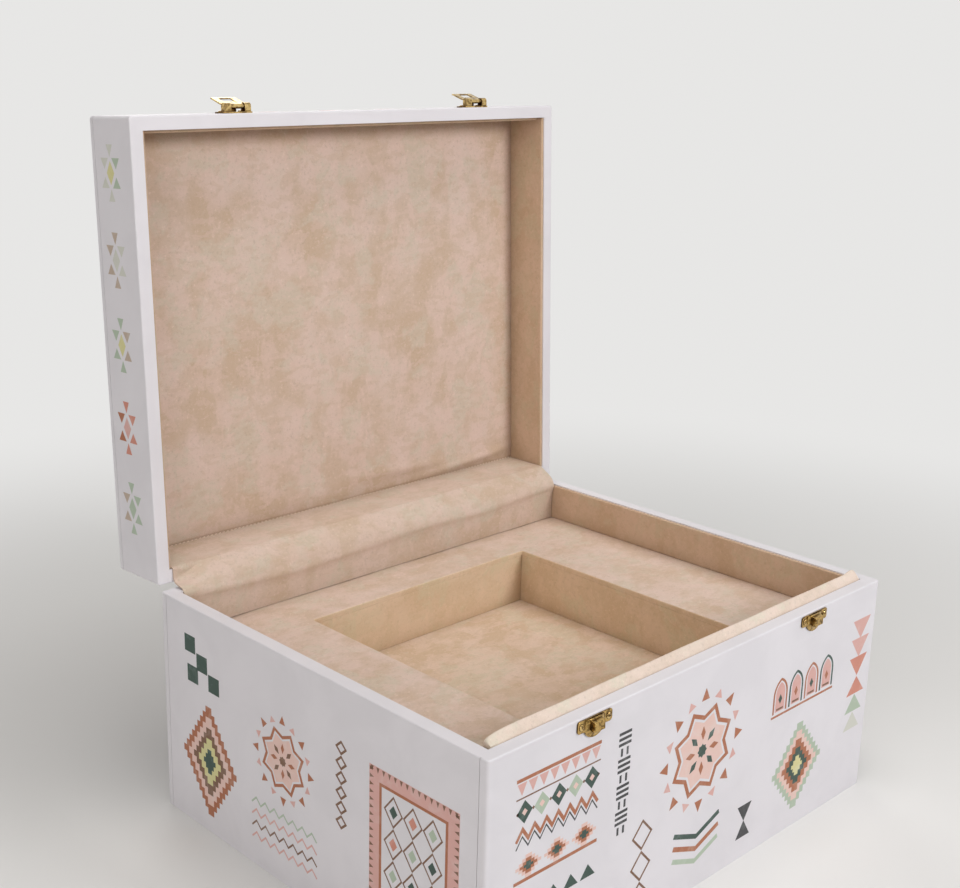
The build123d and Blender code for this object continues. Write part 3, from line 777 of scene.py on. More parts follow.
seam_thread = thread("seam_thread", (234, 212, 190))
places = np.arange(5.0, long - 4, pitch)
row = int(np.argmin(np.abs(local[0, :, 1] - seam_up)))
seam_height = np.interp(places, local[:, row, 0], local[:, row, 2])
around, rounds, girth, length, arch = 8, 7, 0.40, 1.2, 0.42
ring = np.linspace(0, 2 * pi, around, endpoint=False)[None]
reach = np.linspace(-1, 1, rounds)[:, None]
taper = girth * np.sqrt(np.clip(1.04 - reach**2, 0, None))
bead = np.stack(
    [
        reach * length + 0 * ring,
        taper * np.cos(ring),
        taper * np.sin(ring) + arch - arch * reach**2,
    ],
    -1,
).reshape(-1, 3)
middles = np.stack([places, np.full_like(places, seam_up), seam_height], -1)
tilt = ripple(places, places * 0, 9, 0.05, 62)
stitches = middles[:, None] + bead[None]
stitches[..., 1] += tilt[:, None] * bead[None, :, 0] * 2
cells = quads(rounds, around, close_up=True)
count = rounds * around
caps = [list(range(around))[::-1], list(range(count - around, count))]
shift = np.arange(len(places)) * count
faces = (cells[None] + shift[:, None, None]).reshape(-1, 4).tolist()
faces += [[corner + s for corner in cap] for s in shift.tolist() for cap in caps]
points = open_lid(set_in(stitches.reshape(-1, 3), panel_corner, X, back_y))
piece("hem_stitches", points, faces, seam_thread, "suede", "lid", sharp=60)
print(len(places), "stitches")

# %% [markdown]
# ## The flap over the hinges
# A strip of suede hides the hinges. It starts under the lid's hem, lies on the inside of the
# lid's back wall as a narrow shelf, slants down over the hinges and turns sharply at a fold, below
# which it is glued to the back wall of the base. The fold wanders up and down a little. Each
# station along the flap has its own row of corner points, and cutting the corners rounds them.
# One closed skin runs from the base to the lid.

# %% Hinge flap
def eased(at, places, values):
    """Values joined by smooth steps: a share t of the way counts t * t * (3 - 2 t)."""
    places, values = np.array(places, float), np.array(values, float)
    k = np.clip(np.searchsorted(places, at) - 1, 0, len(places) - 2)
    t = np.clip((at - places[k]) / (places[k + 1] - places[k]), 0, 1)
    return values[k] + (values[k + 1] - values[k]) * t * t * (3 - 2 * t)


def smoothed(paths, rounds=3):
    """Corner cutting along the second axis: each run keeps points at one and three quarters."""
    for _ in range(rounds):
        first, second = paths[:, :-1], paths[:, 1:]
        cut = np.stack([first * 0.75 + second * 0.25, first * 0.25 + second * 0.75], 2)
        cut = cut.reshape(len(paths), -1, 2)
        paths = np.concatenate([paths[:, :1], cut, paths[:, -1:]], 1)
    return paths


def kept_off(points, corner, gap):
    """Points nearer than gap to the lid's back board, which fills the quarter behind and below
    its corner, are moved straight out; round the corner that makes an arc of radius gap. Points
    inside the board first go to a face at 45 degrees, so that the row still turns the corner."""
    out = (points - corner) * [-1, 1]
    inside = (out < 0).all(-1)[..., None]
    out = np.where(inside, out - out.max(-1, keepdims=True), out)
    nearer = np.eye(2)[out.argmax(-1)] * 1e-3
    push = np.where(inside, nearer, np.clip(out, 0, None))
    reach = np.linalg.norm(push, axis=-1, keepdims=True)
    moved = push / reach * np.maximum(reach, gap)
    return np.where(push > 0, moved, out) * [-1, 1] + corner


flap_half, cloth = 188.1, 0.95
ribs = np.array([
    (147.0, 132.6), (147.0, 146), (146.6, 152.4), (145.3, 156), (145.7, 159.2), (148.6, 166.2),
    (155.2, 171.3), (161.0, 175.4), (168, 175.1), (175, 174.5), (186, 173.7), (196.5, 173.1),
    (203.0, 172.9),
])  # fmt: skip
tucked = np.array([
    (147.0, 132.6), (147.0, 146), (147.0, 152.4), (147.0, 156), (147.1, 160.4), (149.6, 164.0),
    (156.5, 164.6), (160.0, 166.6), (160.2, 174.2), (162.4, 175.7), (172, 174.9), (196.5, 173.1),
    (203.0, 172.9),
])  # fmt: skip
follow = np.array([0, 0.2, 1, 1, 1, 0.15, 0, 0, 0, 0, 0, 0, 0])
ends = np.linspace(0, 1, 9)[:-1] * 6
x = np.unique(np.concatenate([ends - flap_half, np.linspace(6 - flap_half, flap_half, 170)]))
fold = eased(x, (-188, -140, -83, -30, 30, 100, 188), (158, 155.2, 153, 155, 157.6, 156, 159.6))
lift = np.stack([0 * x, fold - 156], -1)
tuck = eased(x, (-188.2, -186, -164, 188.2), (1, 1, 0, 0))[:, None]
bent = ribs[None] + follow[None, :, None] * lift[:, None]
paths = smoothed(bent * (1 - tuck[..., None]) + tucked[None] * tuck[..., None])
along = np.gradient(paths, axis=1)
along /= np.linalg.norm(along, axis=2)[..., None]
off = np.stack([-along[..., 1], along[..., 0]], -1)
step = np.linalg.norm(np.diff(paths, axis=1), axis=2)
walked = np.concatenate([0 * x[:, None], np.cumsum(step, 1)], 1)
across = np.broadcast_to(x[:, None], walked.shape)
loose = np.exp(-(((walked - 34) / 9) ** 2)) + 0.5 * np.exp(-(((walked - 56) / 9) ** 2))
sway = ripple(across, walked * 0.5, 58, 0.34, 81) + ripple(across, walked * 1.5, 22, 0.13, 82)
hold = np.clip((flap_half - np.abs(across)) / 8, 0.3, 1) * (1 - tuck)
slack = sway * loose * hold + bell(across, walked, (181, 37, 0), (14, 8), 1.5)
slack = np.clip(slack, -0.35, 2.0)
back_low, _ = shut_box("lid_back_board")
paper_turned_in = [0, 0.7]
board_corner = open_lid([[0, back_low[1], shut_box("lid_band_wrap")[0][2]]])[0, 1:]
outer = kept_off(paths + off * slack[..., None], board_corner + paper_turned_in, cloth + 0.15)
inner = outer - off * cloth
front, back = (np.concatenate([across[..., None], side], -1) for side in (outer, inner))
flap = piece("hinge_flap", *skin(front, back), flap_suede, "suede")
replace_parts(flap, "flap_base_band", "flap_span", "flap_lid_band")
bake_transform(flap)
leaf_low, leaf_high = rest_box("left_hinge_base_leaf")
over_leaf = inner[(x > leaf_low[0] - 3) & (x < leaf_high[0] + 3)]
clearance = np.linalg.norm(over_leaf - [leaf_low[1], leaf_high[2]], axis=-1).min()

# %% [markdown]
# ## Screws in the latches
# The latches are held by small slotted brass screws. Each is turned like the real one: a profile
# of radius and height is carried round an axis, and the slot is a dip across the dome.


# %% Latch screws
def spun(points, angle):
    """Points turned in their plane: x and y rotate by the angle, and any z stays."""
    turned = points[:, :2] @ np.array([[cos(angle), sin(angle)], [-sin(angle), cos(angle)]])
    return np.concatenate([turned, points[:, 2:]], -1)


def turned_screw(head=2.0, dome=0.9, shank=1.1, length=7.9, count=56):
    """Radius and height along the profile, carried round. The slot sinks what lies near the
    middle line by half a millimetre, eased over its edges. Both poles are single points."""
    rim, slot_deep, slot_half, slot_edge = 0.25, 0.5, 0.36, 0.12
    fall = np.linspace(0, pi / 2, 9)[1:]
    cap = np.stack([head * np.sin(fall), rim + (dome - rim) * np.cos(fall)], -1)
    body = np.array([[head, 0.0], [shank, 0.0], [shank, 1.0 - length], [0.35, 0.1 - length]])
    profile = np.concatenate([cap, body])[::-1]
    angle = np.linspace(0, 2 * pi, count, endpoint=False)[:, None]
    side, front = profile[:, 0] * np.cos(angle), profile[:, 0] * np.sin(angle)
    height = np.broadcast_to(profile[:, 1], side.shape)
    slot = np.clip((slot_half - np.abs(side)) / slot_edge, 0, 1) * (height > 0.2)
    ring = np.stack([side, front, height - slot_deep * slot], -1)
    points = np.concatenate([ring.reshape(-1, 3), [[0, 0, -length], [0, 0, dome - slot_deep]]])
    rows = len(profile)
    foot = np.arange(count) * rows
    after, pole = np.roll(foot, -1), foot * 0 + count * rows
    top = foot + rows - 1
    faces = quads(count, rows, close_right=True).tolist()
    faces += np.stack([after, foot, pole], -1).tolist()
    faces += np.stack([top, after + rows - 1, pole + 1], -1).tolist()
    return points, faces


def screws(name, node, body, turns=(0.5, 1.4, 2.6, 0.1)):
    """Four turned screws where a node's box has its ends and middle pair, two for each latch."""
    low, high = shut_box(node) if body == "lid" else rest_box(node)
    seat, middle = low[1] + 0.9, (low[2] + high[2]) / 2
    outer, latches_apart = high[0] - 2.0, 228.0
    inner = latches_apart - outer
    points, faces = turned_screw()
    made, cells = [], []
    for x, angle in zip((-outer, -inner, inner, outer), turns):
        start = len(points) * len(made)
        side, front, height = spun(points, angle).T
        made.append(np.stack([x + side, seat - height, middle + front], -1))
        cells += [[corner + start for corner in face] for face in faces]
    made = np.concatenate(made)
    made = open_lid(made) if body == "lid" else made
    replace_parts(piece(name, made, cells, brass, "latch_brass", body, 30), node)
    print(name, "seated at", seat.round(1))


screws("keeper_round_screws", "keeper_screws", "base")
screws("hasp_round_screws", "hasp_screws", "lid")

# %% [markdown]
# ## Printed ornament
# The wrap is printed in flat inks with old woven and carved patterns: triangles, stepped
# diamonds, zigzags, stars and pointed arches. Ink drawn as geometry keeps its crisp edge at any
# distance. Every mark is a polygon in millimetres on its face, made a very thin tile that is
# sunk a little into the paper, and each ink on each body becomes one mesh.


# %% Faces, inks and the press
class Side:
    """One printed face: the body it rides on, its origin and its directions right and up."""

    def __init__(self, body, origin, right, up):
        self.body, self.origin, self.right, self.up = body, origin, right, up

    def at(self, flat, height):
        """Points u, v of the face, lifted along its outward direction by height."""
        flat = np.asarray(flat, float)
        local = np.column_stack([flat, np.full(len(flat), height)])
        points = set_in(local, self.origin, self.right, self.up)
        return open_lid(points) if self.body == "lid" else points


wide, deep, rim, top = 200.0, 158.0, 162.4, 212.4
front_face = Side("base", (0, -deep, 0), X, Z)
left_face = Side("base", (-wide, 0, 0), back_y, Z)
right_face = Side("base", (wide, 0, 0), Y, Z)
back_face = Side("base", (0, deep, 0), back_x, Z)
lid_front = Side("lid", (0, -deep, rim), X, Z)
lid_left = Side("lid", (-wide, 0, rim), back_y, Z)
lid_right = Side("lid", (wide, 0, rim), Y, Z)
lid_back = Side("lid", (0, deep, rim), back_x, Z)
lid_top_face = Side("lid", (0, 0, top), X, Y)

inks = {
    "terracotta": (170, 108, 78), "clay": (214, 168, 160), "blush": (226, 194, 184),
    "sage": (174, 188, 168), "forest": (62, 82, 74), "charcoal": (66, 66, 68),
    "straw": (212, 206, 150), "umber": (124, 92, 72), "rust": (204, 138, 120),
    "mist": (206, 206, 196), "fawn": (186, 168, 152),
}  # fmt: skip
pressed = {}


def press(side, ink, *shapes, proud=0.05, sunk=0.12):
    """Adds shapes in one ink: an outline becomes a tile, a pair of outlines becomes a ring."""
    points, faces = pressed.setdefault((side.body, ink), ([], []))
    for shape in shapes:
        start = sum(len(block) for block in points)
        if isinstance(shape, tuple):
            outer, inner = shape
            rows = [side.at(outer, proud), side.at(inner, proud)]
            rows += [side.at(inner, -sunk), side.at(outer, -sunk)]
            points.append(np.stack(rows, 1).reshape(-1, 3))
            cells = quads(len(outer), 4, close_right=True, close_up=True) + start
            faces.extend(cells.tolist())
            continue
        x, y = shape[:, 0], shape[:, 1]
        area = np.sum(x * np.roll(y, -1) - np.roll(x, -1) * y)
        outline = shape if area > 0 else shape[::-1]
        count = len(outline)
        number = np.arange(count)
        after = np.roll(number, -1)
        points.append(np.concatenate([side.at(outline, proud), side.at(outline, -sunk)]))
        faces.append((number + start).tolist())
        faces.append((number[::-1] + count + start).tolist())
        walls = np.stack([number + count, after + count, after, number], -1) + start
        faces.extend(walls.tolist())


print(len(inks), "inks on white paper")

# %% [markdown]
# ## A vocabulary of marks
# A weaver's marks are few: lozenge, block, wedge, tooth, star, step and zigzag. Each is a short
# function that returns an outline. A line of ink is an outline too, offset to both sides of a
# path with mitred corners.


# %% Marks
def lozenge(u, v, wide, tall):
    """Four points, half the width and half the height from the middle."""
    return np.array([[wide, 0], [0, tall], [-wide, 0], [0, -tall]]) / 2 + [u, v]


def block(u, v, wide, tall):
    """A rectangle about its middle."""
    return np.array([[-wide, -tall], [wide, -tall], [wide, tall], [-wide, tall]]) / 2 + [u, v]


def wedge(u, v, wide, tall):
    """A triangle with the middle of its base at u, v and its tip tall above it, or below."""
    return np.array([[-wide / 2, 0], [wide / 2, 0], [0, tall]]) + [u, v]


def teeth(left, right, v, wide, tall):
    """Two triangles that point inwards, from the places left and right at height v."""
    tooth = np.array([[0, -wide / 2], [tall, 0], [0, wide / 2]])
    return tooth + [left, v], tooth[::-1] * [-1, 1] + [right, v]


def rayed(u, v, outer, inner, points, turn=0.0):
    """A star: radii outer and inner in turn at equal angles."""
    angle = turn + pi * np.arange(2 * points) / points
    radius = np.where(np.arange(2 * points) % 2 == 0, outer, inner)[:, None]
    return radius * np.stack([np.cos(angle), np.sin(angle)], -1) + [u, v]


def stepped(u, v, wide, tall, steps):
    """A diamond in steps: each row's half width falls evenly with its distance from the middle."""
    rows = np.arange(-steps, steps + 1)
    thick = tall / (2 * steps + 1)
    half = wide / 2 * (steps + 1 - np.abs(rows)) / (steps + 1)
    edge = np.tile([-thick / 2, thick / 2], len(rows))
    right = np.stack([np.repeat(half, 2), np.repeat(rows * thick, 2) + edge], -1)
    return np.concatenate([right, right[::-1] * [-1, 1]]) + [u, v]


def offset(path, by, closed):
    """The path moved to its left by a distance, with mitred corners."""
    step = np.roll(path, -1, 0) - path
    if not closed:
        step[-1] = step[-2]
    step /= np.linalg.norm(step, axis=1)[:, None]
    normal = np.stack([-step[:, 1], step[:, 0]], -1)
    before = np.roll(normal, 1, 0)
    if not closed:
        before[0] = normal[0]
    return path + by * (normal + before) / (1 + (normal * before).sum(1))[:, None]


def stroke(path, width):
    """A line of ink along an open path."""
    path = np.array(path, float)
    return np.concatenate([offset(path, width / 2, False), offset(path, -width / 2, False)[::-1]])


def hoop(outline, width):
    """A ring of ink just inside an anticlockwise outline."""
    return outline, offset(outline, width, True)


def zigzag(left, right, v, height, pitch):
    """Points that go up and down by the height, half a pitch apart."""
    count = int(round((right - left) / pitch * 2)) + 1
    return np.stack([np.linspace(left, right, count), v + height * (np.arange(count) % 2)], -1)


def pointed_arch(u, v, wide, spring):
    """Two arcs with a radius of 0.82 of the width and centres across the opening, standing on
    straight jambs."""
    radius = wide * 0.82
    rise = np.linspace(0, np.arccos((radius - wide / 2) / radius), 9)
    across = wide / 2 - radius + radius * np.cos(rise)
    right = np.stack([across, spring + radius * np.sin(rise)], -1)
    left = (right * [-1, 1])[::-1][1:]
    return np.concatenate([[[wide / 2, 0]], right, left, [[-wide / 2, 0]]]) + [u, v]


print("a diamond of three steps has", len(stepped(0, 0, 10, 10, 3)), "corners")

# %% [markdown]
# ## Motifs
# The marks are put together as a weaver or carver would: medallions of turned squares, nested
# stepped diamonds, bands of rows, and a rank of arches.


# %% Motif functions
def medallion(side, u, v, radius, star="terracotta", field="blush", core="forest", tips="clay"):
    """An eight-pointed star from two turned squares, inside a ring of small wedges. The squares
    cross at 0.766 of the way out to their tips."""
    for k, a in enumerate(2 * pi * np.arange(16) / 16):
        out, over = np.array([cos(a), sin(a)]), np.array([-sin(a), cos(a)]) * radius * 0.10
        base = np.array([u, v]) + out * radius * 0.86
        tip = base + out * radius * (0.14 if k % 2 else 0.20)
        press(side, tips if k % 2 else star, np.array([base - over, base + over, tip]))
    large, small, hub = (
        rayed(u, v, radius * share, radius * share * 0.766, 8, turn)
        for share, turn in ((0.78, pi / 8), (0.62, pi / 8), (0.12, 0.0))
    )
    press(side, star, hoop(large, radius * 0.07))
    press(side, field, small)
    petal = lozenge(0, 0, radius * 0.24, radius * 0.115)
    for k, a in enumerate(pi / 4 * np.arange(8)):
        middle = [u + radius * 0.30 * cos(a), v + radius * 0.30 * sin(a)]
        press(side, core if k % 2 else star, spun(petal, a) + middle, proud=0.08)
    press(side, core, hub, proud=0.08)


def kilim(side, u, v, wide, tall, layers, steps=5):
    """Stepped diamonds of falling size, each ink laid over the last."""
    for depth, ink in enumerate(layers):
        share = 1 - depth / (len(layers) + 0.15)
        shape = stepped(u, v, wide * share, tall * share, max(1, round(steps * share)))
        press(side, ink, shape, proud=0.05 + 0.03 * depth)


def chain(side, ink, u, bottom, top, wide, count, width=1.5):
    """A chain of lozenge outlines that touch at their tips."""
    tall = (top - bottom) / count
    for k in range(count):
        press(side, ink, hoop(lozenge(u, bottom + tall * (k + 0.5), wide, tall), width))


def ladder(side, ink, u, top, bottom, wide, bar=1.9, gap=1.65):
    """Blocks of three cross bars and of two upright bars in turn."""
    across, at, tall, apart = True, top, 5.2, 2.6
    while at > bottom:
        if across:
            for k in range(3):
                press(side, ink, block(u, at - bar / 2 - k * (bar + gap), wide, bar))
            at -= 3 * bar + 3 * gap
        else:
            for shift in (-apart, apart):
                press(side, ink, block(u + shift, at - tall / 2, bar, tall))
            at -= tall + gap
        across = not across


def woven_band(side, left, right, bottom, top):
    """Rows between rules: wedges, lozenges, two zigzags and a row of stepped diamonds."""
    run, eyes = right - left, top - 21.4
    rules = [(top - 1, "terracotta", 2.2), (top - 12.4, "umber", 0.9)]
    for v, ink, thick in [*rules, (bottom + 1, "terracotta", 2.2)]:
        press(side, ink, block((left + right) / 2, v, run, thick))
    for k in range(8):
        press(side, "clay", wedge(left + run * (k + 0.5) / 8, top - 3.0, run / 8 - 1.2, -7.6))
    for k in range(5):
        u = left + run * (k + 0.5) / 5
        press(side, ("forest", "sage")[k % 2], lozenge(u, eyes, run / 5 - 1.4, 14.5))
        press(side, "blush", lozenge(u, eyes, 4.6, 4.6), proud=0.08)
    for k, inwards in enumerate((1.4, 0, 0, 0, 0, -1.4)):
        press(side, "umber", lozenge(left + run * k / 5 + inwards, eyes, 2.4, 2.4))
    for ink, v, width in (("terracotta", top - 39.0, 2.2), ("charcoal", top - 43.6, 0.9)):
        press(side, ink, stroke(zigzag(left + 1, right - 1, v, 7.0, run / 7), width))
    for k in range(3):
        u = left + run * (k + 0.5) / 3
        kilim(side, u, bottom + 9.6, run / 3 - 2.5, 14.4, ("blush", "terracotta", "forest"), 3)


def arcade(side, u, v, count, pitch, wide, tall):
    """A rank of pointed arches, each a filled field, an outline and a lozenge lamp."""
    for k in range(count):
        at, dyes = u + pitch * (k - (count - 1) / 2), ("terracotta", "forest")
        press(side, "clay", pointed_arch(at, v + 1.0, wide - 4.4, tall))
        press(side, dyes[k % 2], stroke(pointed_arch(at, v, wide, tall), 1.7), proud=0.07)
        press(side, dyes[1 - k % 2], lozenge(at, v + tall * 0.75, 4.4, 7.2), proud=0.09)
        press(side, "umber", block(at, v + 2.6, wide - 7.0, 1.5), proud=0.09)
    press(side, "terracotta", block(u, v - 2.2, pitch * count, 1.6))


def lattice(side, left, right, bottom, top, cells=3):
    """A sawtooth-edged frame round a field crossed by diagonal strokes, a lozenge in each eye."""
    run, rise, frame, border = right - left, top - bottom, 9.0, 13
    corners = np.array([[left, bottom], [right, bottom], [right, top], [left, top]], float)
    press(side, "clay", hoop(corners, frame))
    press(side, "terracotta", hoop(offset(corners, frame, True), 2.0), proud=0.08)
    columns, rows = int(run / 5), int(rise / 5)
    for k in range(columns):
        u = left + run * (k + 0.5) / columns
        pair = wedge(u, bottom + 0.4, 2.6, 3.6), wedge(u, top - 0.4, 2.6, -3.6)
        press(side, "umber", *pair, proud=0.08)
    for k in range(rows):
        v = bottom + rise * (k + 0.5) / rows
        press(side, "umber", *teeth(left + 0.4, right - 0.4, v, 2.6, 3.6), proud=0.08)
    wide = (run - 2 * border) / cells
    rows = int((rise - 2 * border) / (wide * 1.15))
    tall = (rise - 2 * border) / rows
    for i in range(cells):
        for j in range(rows):
            u, v = left + border + wide * (i + 0.5), bottom + border + tall * (j + 0.5)
            press(side, "umber", hoop(lozenge(u, v, wide, tall), 1.1))
            ink = ("forest", "rust", "sage")[(i + 2 * j) % 3]
            press(side, ink, lozenge(u, v, wide * 0.42, tall * 0.42))


def pinwheel(side, u, v, middle, ends, flanks):
    """The star on the lid's rim: a lozenge, two end wedges and four leaning flank wedges."""
    press(side, middle, lozenge(u, v, 15.6, 9.2))
    for way in (1, -1):
        end = np.array([[18.5, -3.8], [10.5, 0], [18.5, 3.8]]) * [way, 1]
        press(side, ends, (end if way > 0 else end[::-1]) + [u, v])
        for k, lift in enumerate((1, -1)):
            flank = np.array([[9.8, 2.2], [9.8, 11.5], [2.6, 7.0]]) * [way, lift]
            press(side, flanks[k], flank + [u, v])


print(len(rayed(0, 0, 2, 1, 8)), "corners in a medallion's star")

# %% [markdown]
# ## The front
# A column of wedges runs down the right edge, a ladder band and a chain of diamonds stand left
# of the middle, and larger motifs fill the spaces between. The marks are light on the white.

# %% Front print
for k, ink in enumerate(("clay", "clay", "rust")):
    press(front_face, ink, wedge(181, 137.5 - 14.6 * k, 23, -15.2))
for k, ink in enumerate(("rust", "sage", "mist")):
    press(front_face, ink, wedge(181 - 0.4 * k, 79.0 - 14.0 * k, 23 - k, 13.6))
ladder(front_face, "charcoal", -84, 140, 70, 11.5)
chain(front_face, "umber", -62, 8, 73, 20, 3)
press(front_face, "charcoal", wedge(49, 40, 16, -12.4), wedge(49, 15.6, 16, 12.4))
for k in range(4):
    press(front_face, "forest", wedge(-158.5 + 15.2 * k, 55, 13.4, 8.6))
woven_band(front_face, -177, -106, 76, 142)
for ink, v in (("sage", 20), ("terracotta", 29), ("forest", 38)):
    press(front_face, ink, stroke([(-29, v + 9), (-5, v), (19, v + 9)], 3.4))
medallion(front_face, -5, 99, 41)
arcade(front_face, 110, 97, 4, 19, 15, 13)
kilim(front_face, 110, 47, 60, 66, ("sage", "blush", "terracotta", "forest", "straw"), 7)
print("front printed")

# %% [markdown]
# ## The other sides
# The left side has the dark chequer and a large stepped diamond, a small medallion over water-like
# zigzags, a chain, and a framed lattice. The right side and the back are printed more sparsely
# with the same marks.

# %% Side prints
for u, v in ((-124, 134.6), (-110.4, 124.0), (-121.5, 113.1), (-97, 113.0)):
    press(left_face, "forest", block(u, v, 12.4, 12.4))
kilim(left_face, -104, 54, 62, 82, ("terracotta", "blush", "umber", "straw", "forest"), 8)
medallion(left_face, -22, 88, 30, core="umber")
for k, ink in enumerate(("clay", "umber", "clay", "sage")):
    press(left_face, ink, stroke(zigzag(-56, 12, 20 + 8.5 * k, 4.6, 9.7), 1.2))
chain(left_face, "umber", 36, 66, 126, 11, 6)
lattice(left_face, 62, 138, 12, 122)

medallion(right_face, -88, 88, 38)
for k in range(6):
    press(right_face, ("clay", "rust", "sage")[k // 2], wedge(-28, 128 - 15 * k, 22, -14))
kilim(right_face, 34, 76, 62, 84, ("sage", "blush", "terracotta", "forest", "straw"), 8)
arcade(right_face, 108, 84, 3, 22, 17, 17)
chain(right_face, "umber", 108, 20, 70, 14, 4)
for column, row in ((0, 0), (1, 0), (0, 1), (1, 2)):
    press(right_face, "forest", block(-140 + 12.4 * column, 40 - 12.4 * row, 12.0, 12.0))

woven_band(back_face, -160, -66, 66, 132)
kilim(back_face, 0, 82, 66, 96, ("terracotta", "blush", "sage", "forest", "straw"), 9)
ladder(back_face, "charcoal", 60, 136, 40, 12)
medallion(back_face, 122, 86, 40)
for k in range(9):
    press(back_face, "forest", wedge(-156 + 12 * k, 34, 10.5, 8))
print("sides printed")

# %% [markdown]
# ## The lid
# Five small stars stand along each narrow side of the lid in changing inks and a faint chain runs
# along its front and back. On its top, a great star stands between two stepped diamonds inside a
# border of wedges.

# %% Lid prints
star_inks = [
    ("straw", "mist", ("mist", "sage")),
    ("mist", "fawn", ("fawn", "mist")),
    ("straw", "sage", ("sage", "fawn")),
    ("clay", "rust", ("terracotta", "rust")),
    ("sage", "sage", ("fawn", "sage")),
]
for k, (middle, ends, flanks) in enumerate(star_inks):
    pinwheel(lid_left, -107.9 + 57.3 * (4 - k), 27, middle, ends, flanks)
    pinwheel(lid_right, 107.9 - 57.3 * (4 - k), 27, middle, ends, flanks)
for k in range(9):
    ink, u = ("clay", "mist", "sage")[k % 3], -72 + 18 * k
    ring = hoop(lozenge(u, 24, 17, 11), 1.3)
    press(lid_front, ink, ring, lozenge(u, 24, 5, 3.4))
    press(lid_back, ink, ring)
medallion(lid_top_face, 0, 0, 92)
for k in range(18):
    ink, u = ("clay", "sage", "terracotta")[k % 3], -170 + 20 * k
    press(lid_top_face, ink, wedge(u, -132, 16, 12), wedge(u, 132, 16, -12))
for k in range(11):
    ink = ("terracotta", "clay", "sage")[k % 3]
    press(lid_top_face, ink, *teeth(-176, 176, -100 + 20 * k, 16, 12))
for way in (1, -1):
    kilim(lid_top_face, 132 * way, 0, 46, 120, ("sage", "blush", "terracotta", "forest"), 7)
print("lid printed")

# %% [markdown]
# ## Ink
# Each ink is a flat matt colour that did not quite cover: fine pinholes let a little white
# through, and broad clouding varies its strength as a screen print does.


# %% Ink finish and tiles
def ink_finish(name, colour):
    """Matt ink: broad clouding of its strength and fine pinholes of the white below."""
    finish = Finish(name)
    plain = finish.place()
    strength = finish.cloud(plain, 11.0, detail=4.0, rough=0.62, warp=0.7)
    pinhole = finish.cloud(plain, 0.8, detail=3.0, rough=0.7)
    thin = paint(colour + (226 - colour) * 0.30)
    clouded = finish.laid(paint(colour), thin, strength, 0.48, 0.74, 0.75)
    return finish.done(
        Base_Color=finish.laid(clouded, thin, pinhole, 0.60, 0.78, 0.45),
        Roughness=0.55,
        Normal=finish.relief(pinhole, 0.02),
        Specular_IOR_Level=0.35,
    )


for ink in sorted({ink for _, ink in pressed}):
    look = ink_finish(f"ink_{ink}", np.array(inks[ink]))
    for body in ("base", "lid"):
        if (body, ink) in pressed:
            points, faces = pressed[(body, ink)]
            points = np.concatenate(points)
            piece(f"{body}_print_{ink}", points, faces, look, "printed_wrap", body, sharp=20)
print("printed", {key: len(faces) for key, (_, faces) in pressed.items()})

# %% [markdown]
# ## Light and floor
# One large soft lamp hangs above and a little in front, so the faces that look up are brightest.
# A smaller one at the front right makes the front a step brighter than the left side, a warm one
# at the left fills the shade, and a weak one stands behind. The world is a quiet grey for light
# and pale for the camera. The floor takes the chest's shadow near it and fades into the same pale
# tone further out.


# %% Lamps, world and floor
def lamp(name, place, aim, size, power, colour):
    """A square soft lamp at a place, turned to face its aim."""
    light = bpy.data.lights.new(name, "AREA")
    light.shape, light.size, light.energy, light.color = "SQUARE", size, power, colour
    made = bpy.data.objects.new(name, light)
    made.location = place
    made.rotation_euler = (Vector(aim) - Vector(place)).to_track_quat("-Z", "Y").to_euler()
    bpy.context.scene.collection.objects.link(made)


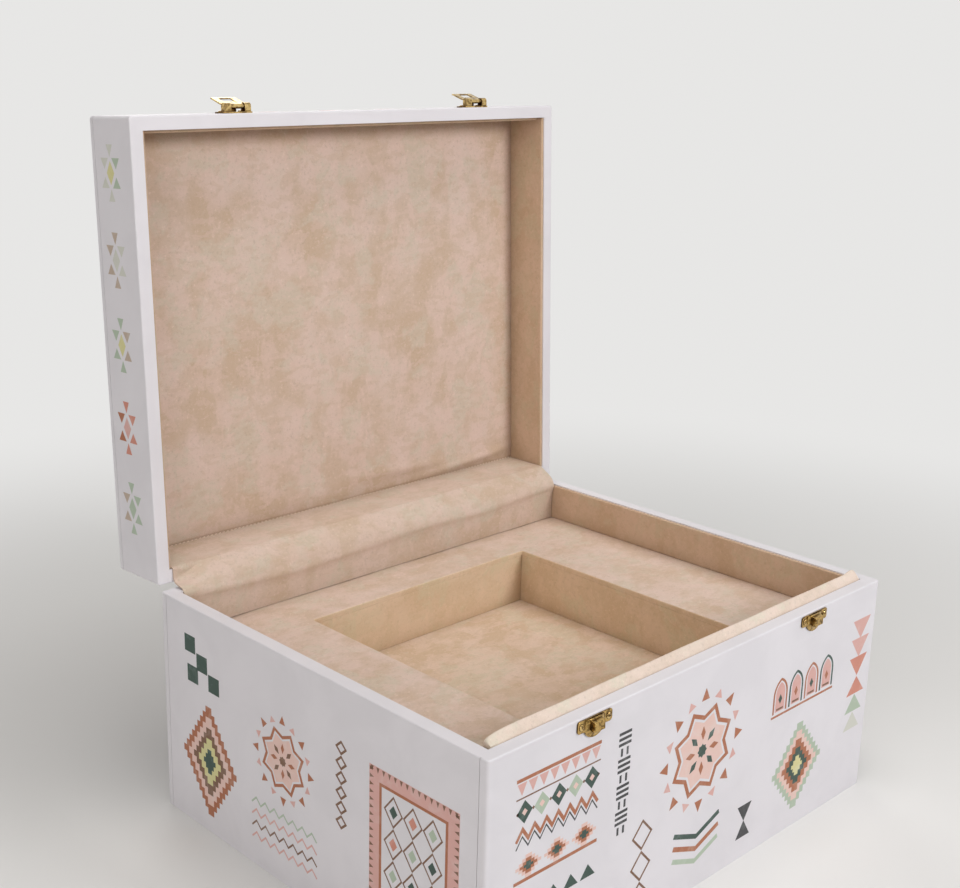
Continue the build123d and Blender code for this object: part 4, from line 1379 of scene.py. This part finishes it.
warm_white = (1.0, 0.985, 0.965)
lamp("above", (-0.05, -0.25, 2.1), (0, 0, 0.1), 1.1, 15.5, warm_white)
lamp("front", (0.5, -1.70, 1.05), (0, 0, 0.22), 0.5, 18, (0.985, 0.985, 1.0))
lamp("fill", (-1.7, -0.6, 0.9), (0, 0, 0.2), 1.4, 13, (1.0, 0.965, 0.94))
lamp("behind", (0.9, 1.7, 1.3), (0, 0, 0.2), 1.2, 9, warm_white)


def shown_to_lens(finish):
    """1 for rays from the camera, or by way of a mirror or glass, and 0 for those that light."""
    lens, mirror, glass = (finish.node("ShaderNodeLightPath", output=n) for n in (0, 3, 6))
    return lens.maths("MAXIMUM", lens.maths("MAXIMUM", lens, mirror), glass)


pale = (0.80, 0.795, 0.785, 1)
air = Finish("studio", bpy.data.worlds.new("studio"))
bpy.context.scene.world = air.home
strength = shown_to_lens(air) * 0.79 + 0.21
background = air.node("ShaderNodeBackground", None, {"Color": pale, "Strength": strength})
air.node("ShaderNodeOutputWorld", None, {"Surface": background})


def plain_floor(spokes=96, rings=24, near=0.02, far=9.0):
    """Rings of points on the ground round the origin, their radii growing as squares."""
    radius = near + far * np.linspace(0, 1, rings)[None] ** 2
    angle = np.linspace(0, 2 * pi, spokes, endpoint=False)[:, None]
    across, along = radius * np.cos(angle), radius * np.sin(angle)
    faces = quads(spokes, rings, close_right=True)[:, ::-1].tolist()
    faces.append(list(range(0, spokes * rings, rings)))
    return np.stack([across, along, 0 * across], -1).reshape(-1, 3) * 1000, faces


ground = Finish("pale_floor")
patch = ground.cloud(ground.place(), 900.0, detail=2.0)
tone = ground.mix(patch, paint((224, 223, 221)), paint((230, 229, 227)))
matt = ground.node("ShaderNodeBsdfDiffuse", None, {"Color": tone})
glow = ground.node("ShaderNodeEmission", None, {"Color": pale, "Strength": 1.0})
length = {"operation": "LENGTH"}
distance = ground.node("ShaderNodeVectorMath", length, {0: ground.place()}, output=1)
faded = ground.between(distance, 0.40, 1.15) * shown_to_lens(ground)
surface = ground.node("ShaderNodeMixShader", None, {0: faded, 1: matt, 2: glow})
ground.node("ShaderNodeOutputMaterial", None, {"Surface": surface})
floor = piece("floor", *plain_floor(), ground.home)
bpy.context.scene.view_settings.view_transform = "Standard"
print("lit")
